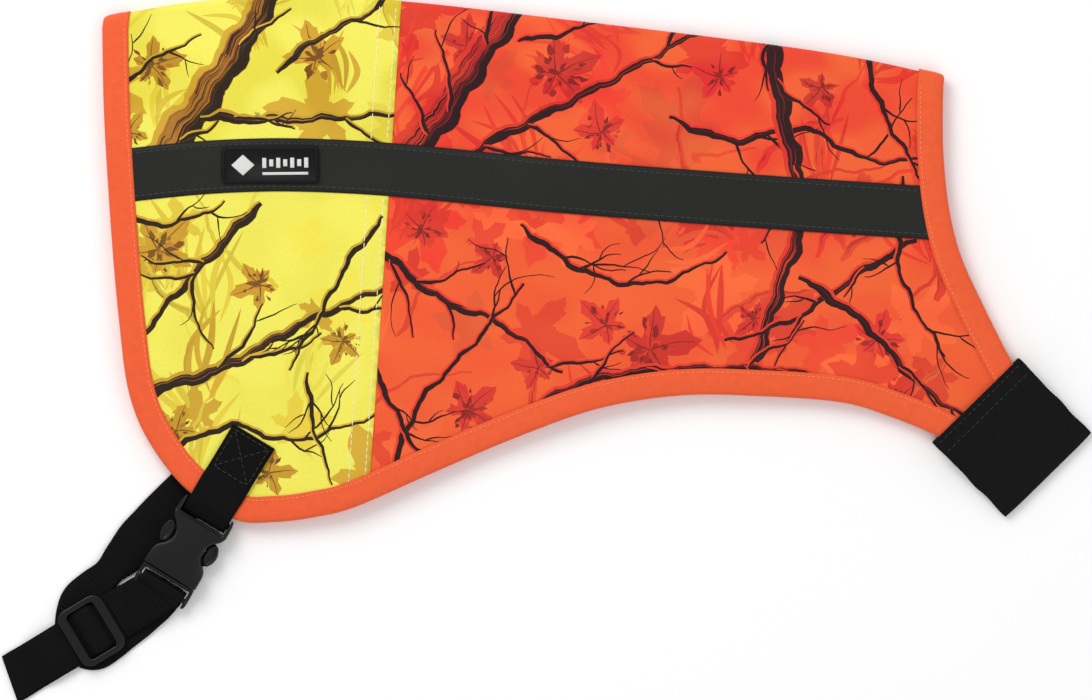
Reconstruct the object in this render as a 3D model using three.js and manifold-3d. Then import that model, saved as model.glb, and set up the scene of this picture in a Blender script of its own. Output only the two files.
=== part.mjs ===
// High-visibility vest for a hunting dog, folded flat along its spine and laid on its far side.
// Millimetres, +Z up, +X along the spine towards the neck, +Y from the belly hem to the spine.
// Each half is a stack of cloth: lining, orange shell, yellow rear panel, edge binding, tape.
// A chest elastic closes the front, and a webbing strap with a side-release buckle the belly.

import * as THREE from 'three';
import { mergeVertices } from 'three/addons/utils/BufferGeometryUtils.js';
import Module from 'manifold-3d';

const wasm = await Module();
wasm.setup();

// Clearance between pieces that touch on the real vest.
const GAP = 0.3;

// Cut of one half.
const SPINE_LENGTH = 434;
const BODY_DEPTH = 275.5;
const TAB_WIDTH = 52.6;
const TAB_TUCK = 10;
const TAB_HEADING = THREE.MathUtils.degToRad(-39);

// Cloth, binding and tape.
const SHELL_THICKNESS = 0.6;
const LINING_THICKNESS = 0.5;
const BINDING_THICKNESS = 0.5;
const BINDING_WIDTH = 13;
const SEAM_X = 152;
const SEAM_LEAN = 0.05;
const SEAM_LAP = 12;
const TAPE_WIDTH = 27.5;
const TAPE_THICKNESS = 0.5;
const TAPE_DROP = 87;

// Label patch, a moulded rubber plate with a raised rim.
const LABEL_LENGTH = 50;
const LABEL_WIDTH = 19;
const LABEL_THICKNESS = 1.5;
const LABEL_RIM = 1.6;
const LABEL_RECESS = 0.5;
const LABEL_CORNER = 2;
const LABEL_X = 94.5;

// Chest elastic.
const ELASTIC_WIDTH = 62;
const ELASTIC_THICKNESS = 1.5;
const ELASTIC_REACH = 54.6;
const ELASTIC_FOLD_RADIUS = 1.3;

// Webbing and buckle.
const WEB_WIDTH = 25;
const WEB_THICKNESS = 1.5;
const WEB_SIDE_CLEARANCE = 0.7;
const ANCHOR_LENGTH = 42.7;
const BUCKLE_WALL = 2;
const BUCKLE_HEIGHT = 9;
const BUCKLE_SKIN = 1.8;
const EAR_START = 0.6;
const EAR_DEPTH = 9.9;
const FEMALE_BAR_AT = 4.5;
const FEMALE_BAR_RADIUS = 1.5;
const CROSS_BLOCK = 2;
const MOUTH_AT = 41.5;
const WAIST_AT = 22;
const WAIST_HALF = 8.7;
const WAIST_HALF_LENGTH = 9;
const MALE_BLOCK = 1.6;
const MALE_BAR_AT = 49.2;
const MALE_BAR_RADIUS = 1.4;
const RAIL_END = 53.2;
const RAIL_BELOW = 1.9;
const RAIL_ABOVE = 0.4;
const TONGUE_REACH = 19;
const TONGUE_HALF = 2.5;
const TONGUE_HEIGHT = 3;
const PRONG_PLAY = 0.5;
const PAD_HALF_LENGTH = 6.5;
const PAD_PROUD = 1.3;

// Strap route, measured from the male bar along the free strand.
const STRAND_HEADING = THREE.MathUtils.degToRad(-27.5);
const GLIDE_AT = 42.5;
const TAIL_AT = 92;
const GLIDE_LENGTH = 26;
const GLIDE_RAIL = 3.1;
const GLIDE_SIDE_BAR = 5;
const GLIDE_CORNER = 5;
const GLIDE_HEIGHT = 4;
const GLIDE_BAR_HALF = 1.6;
const GLIDE_BAR_HEIGHT = 1.8;
const TURN_RADIUS = 24;

// Heights of the stack, from the surface up. The far half is the lower one.
const farOuter = WEB_THICKNESS + GAP;
const farYellow = farOuter + BINDING_THICKNESS + GAP;
const farOrange = farYellow + SHELL_THICKNESS + GAP;
const farLining = farOrange + SHELL_THICKNESS + GAP;
const farInner = farLining + LINING_THICKNESS + GAP;
const farTop = farInner + BINDING_THICKNESS;
const nearInner = farTop + GAP;
const nearLining = nearInner + BINDING_THICKNESS + GAP;
const nearOrange = nearLining + LINING_THICKNESS + GAP;
const nearYellow = nearOrange + SHELL_THICKNESS + GAP;
const nearOuter = nearYellow + SHELL_THICKNESS + GAP;
const nearTop = nearOuter + BINDING_THICKNESS;
const onTop = nearTop + GAP;
const buckleLow = WEB_THICKNESS + GAP;
const buckleMid = buckleLow + BUCKLE_HEIGHT / 2;

const colours = {
  orange: '#ea5a30',
  yellow: '#e6dc52',
  lining: '#2b2c2d',
  binding: '#ea582c',
  tape: '#2d2d2b',
  rubber: '#161616',
  elastic: '#1b1b1b',
  webbing: '#151513',
  plastic: '#262623',
};

const group = new THREE.Group();

function add(name, geometry, colour, roughness) {
  const material = new THREE.MeshStandardMaterial({ color: colours[colour], roughness, metalness: 0 });
  const mesh = new THREE.Mesh(geometry, material);
  mesh.name = name;
  group.add(mesh);
}

// ---------- geometry helpers ----------

function at(x, y) {
  return new THREE.Vector2(x, y);
}

function smooth(points, steps) {
  return new THREE.SplineCurve(points).getPoints(steps);
}

function signedVolume(geometry) {
  const position = geometry.attributes.position;
  const index = geometry.index.array;
  const [a, b, c] = [new THREE.Vector3(), new THREE.Vector3(), new THREE.Vector3()];
  let volume = 0;
  for (let i = 0; i < index.length; i += 3) {
    a.fromBufferAttribute(position, index[i]);
    b.fromBufferAttribute(position, index[i + 1]);
    c.fromBufferAttribute(position, index[i + 2]);
    volume += a.dot(b.cross(c)) / 6;
  }
  return volume;
}

// Joins shared corners and turns the faces outwards.
function closed(geometry) {
  geometry.deleteAttribute('normal');
  geometry.deleteAttribute('uv');
  const merged = mergeVertices(geometry, 1e-4);
  if (signedVolume(merged) < 0) merged.index.array.reverse();
  return merged;
}

function plate(outline, low, high) {
  const geometry = new THREE.ExtrudeGeometry(new THREE.Shape(outline), { depth: high - low, bevelEnabled: false });
  geometry.translate(0, 0, low);
  return closed(geometry);
}

// Skins a row of rings that all have the section's points, and caps both ends.
function loft(rings, section) {
  const count = section.length;
  const vertices = rings.flat().flatMap((point) => point.toArray());
  const faces = [];
  for (let ring = 0; ring < rings.length - 1; ring += 1) {
    for (let side = 0; side < count; side += 1) {
      const a = ring * count + side;
      const b = ring * count + ((side + 1) % count);
      faces.push(a, b, b + count, a, b + count, a + count);
    }
  }
  const last = (rings.length - 1) * count;
  for (const [a, b, c] of THREE.ShapeUtils.triangulateShape(section, [])) {
    faces.push(c, b, a, a + last, b + last, c + last);
  }
  const geometry = new THREE.BufferGeometry();
  geometry.setAttribute('position', new THREE.Float32BufferAttribute(vertices, 3));
  geometry.setIndex(faces);
  return closed(geometry);
}

// A flat band along a path: each stop has its centre and the unit direction across the band.
function band(stops, width, thickness) {
  const corners = [[-1, -1], [1, -1], [1, 1], [-1, 1]];
  const section = corners.map(([x, y]) => at(x * width, y * thickness));
  const rings = stops.map((stop, i) => {
    const before = stops[Math.max(i - 1, 0)].centre;
    const after = stops[Math.min(i + 1, stops.length - 1)].centre;
    const along = after.clone().sub(before);
    const normal = new THREE.Vector3().crossVectors(along, stop.across).normalize();
    return corners.map(([x, y]) => stop.centre.clone()
      .addScaledVector(stop.across, (x * width) / 2)
      .addScaledVector(normal, (y * thickness) / 2));
  });
  return loft(rings, section);
}

// Unit normals on the right of an open line, which is the cloth's side of both hem and neck line.
function normals(line) {
  return line.map((point, i) => {
    const before = line[Math.max(i - 1, 0)];
    const after = line[Math.min(i + 1, line.length - 1)];
    const along = after.clone().sub(before).normalize();
    return at(along.y, -along.x);
  });
}

function inset(line, distance, side) {
  const away = normals(line);
  return line.map((point, i) => point.clone().addScaledVector(away[i], side * distance));
}

function solid(geometry) {
  const mesh = new wasm.Mesh({
    numProp: 3,
    vertProperties: new Float32Array(geometry.attributes.position.array),
    triVerts: new Uint32Array(geometry.index.array),
  });
  return new wasm.Manifold(mesh);
}

function geometryOf(body) {
  const mesh = body.getMesh();
  const geometry = new THREE.BufferGeometry();
  geometry.setAttribute('position', new THREE.BufferAttribute(mesh.vertProperties, 3));
  geometry.setIndex(new THREE.BufferAttribute(mesh.triVerts, 1));
  return closed(geometry);
}

function block(x0, x1, y0, y1, z0, z1) {
  return solid(plate([at(x0, y0), at(x1, y0), at(x1, y1), at(x0, y1)], z0, z1));
}

function roundedRectangle(length, width, radius) {
  const shape = new THREE.Shape();
  const [x, y] = [length / 2, width / 2];
  shape.moveTo(x - radius, -y);
  shape.absarc(x - radius, -y + radius, radius, -Math.PI / 2, 0);
  shape.absarc(x - radius, y - radius, radius, 0, Math.PI / 2);
  shape.absarc(-x + radius, y - radius, radius, Math.PI / 2, Math.PI);
  shape.absarc(-x + radius, -y + radius, radius, Math.PI, Math.PI * 1.5);
  return shape.extractPoints(4).shape.slice(0, -1);
}

// ---------- cut of one half, as fractions of the spine length and the body depth ----------

function cut([along, down]) {
  return at(along * SPINE_LENGTH, -down * BODY_DEPTH);
}

const spine = smooth([
  [0, 0.098], [0.1, 0.051], [0.22, 0.016], [0.35, 0.001], [0.55, 0], [0.78, 0.002], [0.9, 0.009], [1, 0.025],
].map(cut), 28);

const tabMiddle = cut([1.084, 0.6207]);
const tabAlong = at(Math.cos(TAB_HEADING), Math.sin(TAB_HEADING));
const tabAcross = at(-tabAlong.y, tabAlong.x);

function onTab(along, across) {
  return tabMiddle.clone().addScaledVector(tabAlong, along).addScaledVector(tabAcross, across);
}

const hem = smooth([
  ...[
    [0, 0.098], [0.016, 0.28], [0.0415, 0.505], [0.062, 0.66], [0.083, 0.788], [0.115, 0.878], [0.166, 0.957],
    [0.226, 1], [0.274, 0.995], [0.32, 0.977], [0.366, 0.949], [0.456, 0.866], [0.548, 0.784], [0.638, 0.715],
    [0.733, 0.673], [0.827, 0.657], [0.924, 0.651], [0.985, 0.667],
  ].map(cut),
  onTab(0, -TAB_WIDTH / 2),
  onTab(TAB_TUCK, -TAB_WIDTH / 2),
], 76);

const neck = smooth([
  ...[[1, 0.025], [1.0046, 0.102], [1.0115, 0.18], [1.025, 0.272], [1.044, 0.352], [1.074, 0.432]].map(cut),
  onTab(0, TAB_WIDTH / 2),
  onTab(TAB_TUCK, TAB_WIDTH / 2),
], 28);

const HEM_SIDE = -1;
const NECK_SIDE = 1;

// The cloth's outline, drawn back from the bound edges by the given distance.
function half(distance) {
  const hemLine = inset(hem, distance, HEM_SIDE);
  const neckLine = inset(neck, distance, NECK_SIDE);
  const [rearX, neckX] = [hemLine[0].x, neckLine[0].x];
  const top = spine.filter((point) => point.x > rearX + 2 && point.x < neckX - 2);
  return [...hemLine, ...neckLine.reverse(), ...top.reverse()];
}

const clothInset = BINDING_THICKNESS + GAP;
const tapeInset = BINDING_WIDTH + GAP;

// The lapped seam leans from the spine towards the neck. Yellow lies over orange.
function seamBlock(side, shift, low, high) {
  const far = side * SPINE_LENGTH * 2;
  const top = SEAM_X + shift - SEAM_LEAN * 50;
  const bottom = SEAM_X + shift + SEAM_LEAN * BODY_DEPTH * 1.5;
  return solid(plate([at(top, 50), at(top + far, 50), at(bottom + far, -BODY_DEPTH * 1.5),
    at(bottom, -BODY_DEPTH * 1.5)], low, high));
}

function panel(side, shift, low) {
  const high = low + SHELL_THICKNESS;
  return geometryOf(solid(plate(half(clothInset), low, high)).intersect(seamBlock(side, shift, low - 1, high + 1)));
}

function binding(line, side, low, high) {
  const depth = BINDING_THICKNESS;
  const section = [
    [0, low], [BINDING_WIDTH, low], [BINDING_WIDTH, low + depth], [depth, low + depth],
    [depth, high - depth], [BINDING_WIDTH, high - depth], [BINDING_WIDTH, high], [0, high],
  ].map(([inward, z]) => at(inward, z));
  const inward = normals(line);
  const rings = line.map((point, i) => section.map(({ x, y }) => new THREE.Vector3(
    point.x + inward[i].x * side * x,
    point.y + inward[i].y * side * x,
    y,
  )));
  return loft(rings, section);
}

// The tape keeps its distance from the spine and drops a little towards the rear.
const tapeLine = smooth([
  at(-20, -TAPE_DROP - 29), at(65, -TAPE_DROP - 9.5), at(140, -TAPE_DROP - 1), at(250, -TAPE_DROP + 1.5),
  at(SPINE_LENGTH - 70, -TAPE_DROP + 6), at(SPINE_LENGTH + 40, -TAPE_DROP + 11.5),
], 24);

function tape(low) {
  const upper = inset(tapeLine, TAPE_WIDTH / 2, -1);
  const lower = inset(tapeLine, TAPE_WIDTH / 2, 1);
  const high = low + TAPE_THICKNESS;
  const strip = solid(plate([...upper, ...lower.reverse()], low, high));
  return geometryOf(strip.intersect(solid(plate(half(tapeInset), low - 1, high + 1))));
}

// ---------- the two halves of the cloth ----------

add('far_yellow_panel', panel(-1, 0, farYellow), 'yellow', 0.8);
add('far_orange_shell', panel(1, -SEAM_LAP, farOrange), 'orange', 0.8);
add('far_lining', plate(half(clothInset), farLining, farLining + LINING_THICKNESS), 'lining', 0.9);
add('far_hem_binding', binding(hem, HEM_SIDE, farOuter, farTop), 'binding', 0.7);
add('far_neck_binding', binding(neck, NECK_SIDE, farOuter, farTop), 'binding', 0.7);
add('far_reflective_tape', tape(farOuter), 'tape', 0.4);

add('near_lining', plate(half(clothInset), nearLining, nearLining + LINING_THICKNESS), 'lining', 0.9);
add('near_orange_shell', panel(1, -SEAM_LAP, nearOrange), 'orange', 0.8);
add('near_yellow_panel', panel(-1, 0, nearYellow), 'yellow', 0.8);
add('near_hem_binding', binding(hem, HEM_SIDE, nearInner, nearTop), 'binding', 0.7);
add('near_neck_binding', binding(neck, NECK_SIDE, nearInner, nearTop), 'binding', 0.7);
add('near_reflective_tape', tape(nearOuter), 'tape', 0.4);

// ---------- label patch on the near tape ----------

function labelPatch() {
  const stop = tapeLine.findIndex((point) => point.x > LABEL_X);
  const [before, after] = [tapeLine[stop - 1], tapeLine[stop]];
  const middle = before.clone().lerp(after, (LABEL_X - before.x) / (after.x - before.x));
  const turn = Math.atan2(after.y - before.y, after.x - before.x);
  const [low, high] = [onTop, onTop + LABEL_THICKNESS];
  const plateSolid = solid(plate(roundedRectangle(LABEL_LENGTH, LABEL_WIDTH, LABEL_CORNER), low, high));
  const field = roundedRectangle(LABEL_LENGTH - 2 * LABEL_RIM, LABEL_WIDTH - 2 * LABEL_RIM, LABEL_CORNER / 2);
  const body = plateSolid.subtract(solid(plate(field, high - LABEL_RECESS, high + 1)));
  return geometryOf(body).rotateZ(turn).translate(middle.x, middle.y, 0);
}

add('label_patch', labelPatch(), 'rubber', 0.6);

// ---------- chest elastic: one band folded at its outer end, parted at the fold ----------

function elasticStop(along, z) {
  const point = onTab(along, 0);
  return {
    centre: new THREE.Vector3(point.x, point.y, z),
    across: new THREE.Vector3(tabAcross.x, tabAcross.y, 0),
  };
}

const elasticHalf = ELASTIC_THICKNESS / 2;
const foldMiddle = ELASTIC_REACH - elasticHalf - ELASTIC_FOLD_RADIUS;
const foldHeight = elasticHalf + ELASTIC_FOLD_RADIUS;

function foldStops(from, to) {
  return Array.from({ length: 5 }, (_, i) => {
    const angle = from + ((to - from) * i) / 4;
    const along = foldMiddle + ELASTIC_FOLD_RADIUS * Math.cos(angle);
    return elasticStop(along, foldHeight + ELASTIC_FOLD_RADIUS * Math.sin(angle));
  });
}

const foldGap = (GAP * 1.5) / ELASTIC_FOLD_RADIUS;
const nearElasticLine = [
  elasticStop(0, onTop + elasticHalf),
  elasticStop(TAB_TUCK + 3, onTop + elasticHalf),
  elasticStop(TAB_TUCK + 9, onTop + elasticHalf - 2.2),
  elasticStop(TAB_TUCK + 20, foldHeight + ELASTIC_FOLD_RADIUS + 2.2),
  ...foldStops(Math.PI / 2, foldGap),
];
const farElasticLine = [elasticStop(0, elasticHalf), ...foldStops(-Math.PI / 2, -foldGap)];

add('chest_elastic_near', band(nearElasticLine, ELASTIC_WIDTH, ELASTIC_THICKNESS), 'elastic', 0.85);
add('chest_elastic_far', band(farElasticLine, ELASTIC_WIDTH, ELASTIC_THICKNESS), 'elastic', 0.85);

// ---------- belly strap: the buckle stands square to the hem at its rear corner ----------
// Strap axes: x runs out from the hem along the buckle, y across it towards the neck.

const strapStop = hem.reduce((best, point, i) => (
  Math.abs(point.x - SPINE_LENGTH * 0.194) < Math.abs(hem[best].x - SPINE_LENGTH * 0.194) ? i : best), 0);
const hemOut = normals(hem)[strapStop].clone().multiplyScalar(-HEM_SIDE);
const strapFrame = new THREE.Matrix4().makeRotationZ(Math.atan2(hemOut.y, hemOut.x));
strapFrame.setPosition(hem[strapStop].x, hem[strapStop].y, 0);

function onStrap(geometry) {
  return geometry.applyMatrix4(strapFrame);
}

function acrossAt(heading) {
  return new THREE.Vector3(-Math.sin(heading), Math.cos(heading), 0);
}

const webHalf = WEB_WIDTH / 2;
const webGap = webHalf + WEB_SIDE_CLEARANCE;
const webMid = WEB_THICKNESS / 2;
const buckleHalf = webGap + BUCKLE_WALL;

function arcStops(centreX, radius, from, to, steps) {
  return Array.from({ length: steps + 1 }, (_, i) => {
    const angle = from + ((to - from) * i) / steps;
    const x = centreX + radius * Math.cos(angle);
    return { centre: new THREE.Vector3(x, 0, buckleMid + radius * Math.sin(angle)), across: acrossAt(0) };
  });
}

function flatStop(x, z) {
  return { centre: new THREE.Vector3(x, 0, z), across: acrossAt(0) };
}

function nearAnchor() {
  const radius = FEMALE_BAR_RADIUS + GAP + webMid;
  const stops = [
    flatStop(-ANCHOR_LENGTH, onTop + webMid),
    flatStop(EAR_START, onTop + webMid),
    ...arcStops(FEMALE_BAR_AT, radius, Math.PI / 3, -Math.PI / 2, 8),
    flatStop(FEMALE_BAR_AT - FEMALE_BAR_RADIUS, buckleMid - radius),
  ];
  return onStrap(band(stops, WEB_WIDTH, WEB_THICKNESS));
}

add('near_strap_anchor', nearAnchor(), 'webbing', 0.85);

function bar(x, radius, halfLength) {
  const geometry = new THREE.CylinderGeometry(radius, radius, 2 * halfLength, 16);
  return solid(closed(geometry)).translate([x, 0, buckleMid]);
}

// Half widths of the female shell from its ears to its mouth, with a waist for the prong pads.
const earEnd = EAR_START + EAR_DEPTH;
const femaleSide = [
  at(EAR_START, webGap + 0.3),
  at(EAR_START + 2.4, buckleHalf - 0.6),
  at(earEnd, buckleHalf),
  at(WAIST_AT - WAIST_HALF_LENGTH, buckleHalf - 1.2),
  at(WAIST_AT - WAIST_HALF_LENGTH * 0.66, WAIST_HALF + 2.2),
  at(WAIST_AT - WAIST_HALF_LENGTH * 0.33, WAIST_HALF + 0.5),
  at(WAIST_AT, WAIST_HALF),
  at(WAIST_AT + WAIST_HALF_LENGTH * 0.33, WAIST_HALF + 0.5),
  at(WAIST_AT + WAIST_HALF_LENGTH * 0.66, WAIST_HALF + 2.2),
  at(WAIST_AT + WAIST_HALF_LENGTH, buckleHalf - 1.2),
  at(WAIST_AT + WAIST_HALF_LENGTH + 2.5, buckleHalf - 0.2),
  at(MOUTH_AT, buckleHalf),
];

function mirrored(side) {
  return [...side, ...side.map(({ x, y }) => at(x, -y)).reverse()];
}

function femaleBuckle() {
  const high = buckleLow + BUCKLE_HEIGHT;
  const cavityHalf = webGap - 0.6;
  const cavity = block(
    earEnd + CROSS_BLOCK, MOUTH_AT + 9, -cavityHalf, cavityHalf, buckleLow + BUCKLE_SKIN, high - BUCKLE_SKIN,
  );
  const earGap = block(EAR_START - 5, earEnd, -webGap, webGap, buckleLow - 1, high + 1);
  const shell = solid(plate(mirrored(femaleSide), buckleLow, high)).subtract(cavity).subtract(earGap);
  return shell.add(bar(FEMALE_BAR_AT, FEMALE_BAR_RADIUS, webGap + 1));
}

add('buckle_female', onStrap(geometryOf(femaleBuckle())), 'plastic', 0.45);

const blockStart = MOUTH_AT + GAP;
const blockEnd = blockStart + MALE_BLOCK;

function maleBuckle() {
  const front = block(blockStart, blockEnd, -buckleHalf, buckleHalf, buckleLow + 0.8, buckleLow + BUCKLE_HEIGHT - 0.8);
  const rails = [-1, 1].map((side) => {
    const [inner, outer] = [side * webGap, side * buckleHalf];
    const [low, high] = [Math.min(inner, outer), Math.max(inner, outer)];
    return block(blockEnd - 0.5, RAIL_END, low, high, buckleMid - RAIL_BELOW, buckleMid + RAIL_ABOVE);
  });
  const tongue = block(
    blockStart - TONGUE_REACH, blockStart + 0.5, -TONGUE_HALF, TONGUE_HALF,
    buckleMid - TONGUE_HEIGHT / 2, buckleMid + TONGUE_HEIGHT / 2,
  );
  const crossBar = bar(MALE_BAR_AT, MALE_BAR_RADIUS, webGap + 1);
  return front.add(rails[0]).add(rails[1]).add(tongue).add(crossBar);
}

add('buckle_male', onStrap(geometryOf(maleBuckle())), 'plastic', 0.45);

// One springy arm with its thumb pad, on the side that sign names.
const armRoot = blockStart - GAP;
const armInner = WAIST_HALF - 0.2;
const prongHalfHeight = BUCKLE_HEIGHT / 2 - BUCKLE_SKIN - PRONG_PLAY;

function prong(sign) {
  const padOut = buckleHalf + PAD_PROUD;
  const pad = Array.from({ length: 9 }, (_, i) => {
    const angle = Math.PI - (Math.PI * i) / 8;
    return at(WAIST_AT + PAD_HALF_LENGTH * Math.cos(angle), armInner + 2.6
      + (padOut - armInner - 2.6) * Math.sin(angle));
  });
  const outline = [
    at(armRoot, armInner), at(WAIST_AT - PAD_HALF_LENGTH + 1.5, armInner + 0.9), ...pad,
    at(WAIST_AT + PAD_HALF_LENGTH + 2.5, armInner + 2.4), at(armRoot, armInner + 2.2),
  ].map(({ x, y }) => at(x, sign * y));
  return plate(outline, buckleMid - prongHalfHeight, buckleMid + prongHalfHeight);
}

add('prong_left', onStrap(prong(-1)), 'plastic', 0.45);
add('prong_right', onStrap(prong(1)), 'plastic', 0.45);

// ---------- strap: lower run on the surface, then over the male bar and through the slider ----------

const strandAlong = at(Math.cos(STRAND_HEADING), Math.sin(STRAND_HEADING));

function onStrand(distance) {
  return at(MALE_BAR_AT + strandAlong.x * distance, strandAlong.y * distance);
}

const glideMiddle = onStrand(GLIDE_AT);

// The run lies flat: out from under the far hem, round a tight turn under the slider, and back.
function lowerRun() {
  const turn = Array.from({ length: 15 }, (_, i) => {
    const angle = THREE.MathUtils.degToRad(-125 + 205 * (i / 14));
    return at(glideMiddle.x + TURN_RADIUS * Math.cos(angle), glideMiddle.y + TURN_RADIUS * Math.sin(angle));
  });
  const outerLeg = smooth([at(-ANCHOR_LENGTH, -6 - webHalf), at(-4, -14 - webHalf), at(22, -19.7 - webHalf),
    at(38, -22.5 - webHalf), at(56, -23.5 - webHalf)], 12);
  const innerLeg = smooth([at(56, -19), at(38, -22.5 + webHalf), at(22, -19.7 + webHalf), at(-4, -14 + webHalf),
    at(-ANCHOR_LENGTH, -6 + webHalf)], 12);
  const returnEnd = MALE_BAR_AT + 9;
  const returnLeg = [at(returnEnd, webHalf - 2), at(returnEnd, -webHalf - 1), at(74, -16.5), at(glideMiddle.x, -18.4),
    at(74, -20.5)];
  return onStrap(plate([...outerLeg, ...turn, ...returnLeg, ...innerLeg], 0, WEB_THICKNESS));
}

add('belly_strap_lower_run', lowerRun(), 'webbing', 0.85);

// Heights of the free strand over its distance from the male bar.
const glideLow = buckleLow + GAP;
const underBar = glideLow + webMid;
const overBar = glideLow + GLIDE_BAR_HEIGHT + GAP + webMid;
const frameHalf = GLIDE_LENGTH / 2;
const windowHalf = frameHalf - GLIDE_SIDE_BAR;

function upperRun() {
  const radius = MALE_BAR_RADIUS + GAP + webMid;
  const start = [
    flatStop(MALE_BAR_AT + 12, buckleLow + webMid),
    flatStop(MALE_BAR_AT + 6, buckleLow + webMid + 0.2),
    ...arcStops(MALE_BAR_AT, radius, -Math.PI * 0.45, -Math.PI * 1.5, 9),
  ];
  const profile = [
    [4, buckleMid + radius - 0.1], [9, buckleMid + radius - 0.5], [14, buckleMid + radius - 2.4],
    [18, underBar + 1.8], [25, underBar + 0.3], [GLIDE_AT - frameHalf, underBar],
    [GLIDE_AT - windowHalf + 0.5, underBar], [GLIDE_AT - 2.4, overBar], [GLIDE_AT + 2.4, overBar],
    [GLIDE_AT + windowHalf - 0.5, underBar], [GLIDE_AT + frameHalf, underBar],
    [GLIDE_AT + TURN_RADIUS + 0.5, underBar - 0.1], [GLIDE_AT + TURN_RADIUS + 9, webMid], [TAIL_AT, webMid],
  ];
  const strand = profile.map(([distance, z]) => {
    const point = onStrand(distance);
    const turned = Math.min(distance / 11, 1) * STRAND_HEADING;
    return { centre: new THREE.Vector3(point.x, point.y, z), across: acrossAt(turned) };
  });
  return onStrap(band([...start, ...strand], WEB_WIDTH, WEB_THICKNESS));
}

add('belly_strap_upper_run', upperRun(), 'webbing', 0.85);

function slider() {
  const across = webHalf + 0.6;
  const [barTop, top] = [glideLow + GLIDE_BAR_HEIGHT, glideLow + GLIDE_HEIGHT];
  const frame = solid(plate(roundedRectangle(GLIDE_LENGTH, 2 * (across + GLIDE_RAIL), GLIDE_CORNER), glideLow, top));
  const under = block(-GLIDE_LENGTH, GLIDE_LENGTH, -across, across, glideLow - 1, barTop);
  const window = block(-windowHalf, windowHalf, -across, across, glideLow - 1, top + 1);
  const middleBar = block(-GLIDE_BAR_HALF, GLIDE_BAR_HALF, -across - 1, across + 1, glideLow, barTop);
  const body = frame.subtract(under).subtract(window).add(middleBar);
  return geometryOf(body).rotateZ(STRAND_HEADING).translate(glideMiddle.x, glideMiddle.y, 0);
}

add('tri_glide', onStrap(slider()), 'plastic', 0.45);

// ---------- origin at the middle of the footprint, on the surface ----------

const bounds = new THREE.Box3().setFromObject(group);
const middle = bounds.getCenter(new THREE.Vector3());
group.position.set(-middle.x, -middle.y, -bounds.min.z);

export default group;
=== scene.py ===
"""Looks of a folded hunting dog vest: printed cloth, bindings, tape, elastic, webbing and buckle."""

import math
import random

import bmesh
import bpy
import numpy as np
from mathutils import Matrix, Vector
from mathutils.geometry import delaunay_2d_cdt


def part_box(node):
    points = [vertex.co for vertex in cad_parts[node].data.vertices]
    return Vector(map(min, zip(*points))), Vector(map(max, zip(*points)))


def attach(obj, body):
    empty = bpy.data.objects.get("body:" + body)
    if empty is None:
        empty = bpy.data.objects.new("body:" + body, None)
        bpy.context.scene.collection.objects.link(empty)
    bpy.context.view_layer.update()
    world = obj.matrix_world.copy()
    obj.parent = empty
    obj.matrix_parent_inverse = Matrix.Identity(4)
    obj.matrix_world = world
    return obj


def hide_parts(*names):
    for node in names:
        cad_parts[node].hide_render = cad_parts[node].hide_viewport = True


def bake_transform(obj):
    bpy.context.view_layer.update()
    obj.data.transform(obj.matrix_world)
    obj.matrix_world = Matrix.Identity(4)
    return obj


bl_info = {
    "name": "Folded Dog Vest",
    "version": (1, 0, 0),
    "blender": (4, 5, 0),
    "location": "3D View > Sidebar > Dog Vest",
    "description": "Builds the visible pieces of a hunting dog vest round its packed frame",
    "category": "Object",
}

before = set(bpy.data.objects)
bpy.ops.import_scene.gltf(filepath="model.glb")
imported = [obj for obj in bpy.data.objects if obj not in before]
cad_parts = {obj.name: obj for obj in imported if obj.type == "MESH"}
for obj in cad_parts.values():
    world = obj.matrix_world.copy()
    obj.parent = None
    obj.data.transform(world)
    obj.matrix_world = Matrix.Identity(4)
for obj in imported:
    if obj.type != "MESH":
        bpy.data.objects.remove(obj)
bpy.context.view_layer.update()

MM = 0.001

# The fold runs round this height, midway between the two halves.
FOLD_HEIGHT = (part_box("near_hem_binding")[0].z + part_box("far_hem_binding")[1].z) / 2
CREST_DROP = 2.4 * MM

# Share of the near half's slack by which the far half sags towards the table.
FAR_SAG = 0.7

# Distance of each layer from the fold's height, which is also its radius round the fold.
LINING_RADIUS = 1.9 * MM
ORANGE_RADIUS = 2.5 * MM
YELLOW_RADIUS = 2.95 * MM
TAPE_RADIUS = 3.35 * MM
BINDING_RADIUS = 3.8 * MM
LABEL_RADIUS = 4.1 * MM

SPINE_CUT = [(0, 0.098), (0.1, 0.051), (0.22, 0.016), (0.35, 0.001), (0.55, 0), (0.78, 0.002), (0.9, 0.009),
             (1, 0.025)]
HEM_CUT = [(0, 0.098), (0.016, 0.28), (0.0415, 0.505), (0.062, 0.66), (0.083, 0.788), (0.115, 0.878),
           (0.166, 0.957), (0.226, 1), (0.274, 0.995), (0.32, 0.977), (0.366, 0.949), (0.456, 0.866),
           (0.548, 0.784), (0.638, 0.715), (0.733, 0.673), (0.827, 0.657), (0.924, 0.651), (0.985, 0.667)]
NECK_CUT = [(1, 0.025), (1.0046, 0.102), (1.0115, 0.18), (1.025, 0.272), (1.044, 0.352), (1.074, 0.432)]
TAB_CUT = (1.084, 0.6207)
TAB_HEADING = math.radians(-39)
TAB_TUCK = 10 * MM
TAB_WIDTH = 52.6 * MM
STRAP_CUT = 0.194
STRAND_HEADING = math.radians(-27.5)

# Slack of the upper half: cycles per metre along X and Y, phase and share of each ripple.
RIPPLES = [(6.1, 2.3, 0.4, 0.5), (-3.9, 8.7, 2.1, 0.35), (13.3, -6.2, 1.1, 0.22), (4.5, 16.9, 3.0, 0.14),
           (22.0, 9.0, 0.3, 0.07)]


def length(name, text, default):
    return bpy.props.FloatProperty(name=name, description=text, default=default, min=0, unit="LENGTH")


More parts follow.
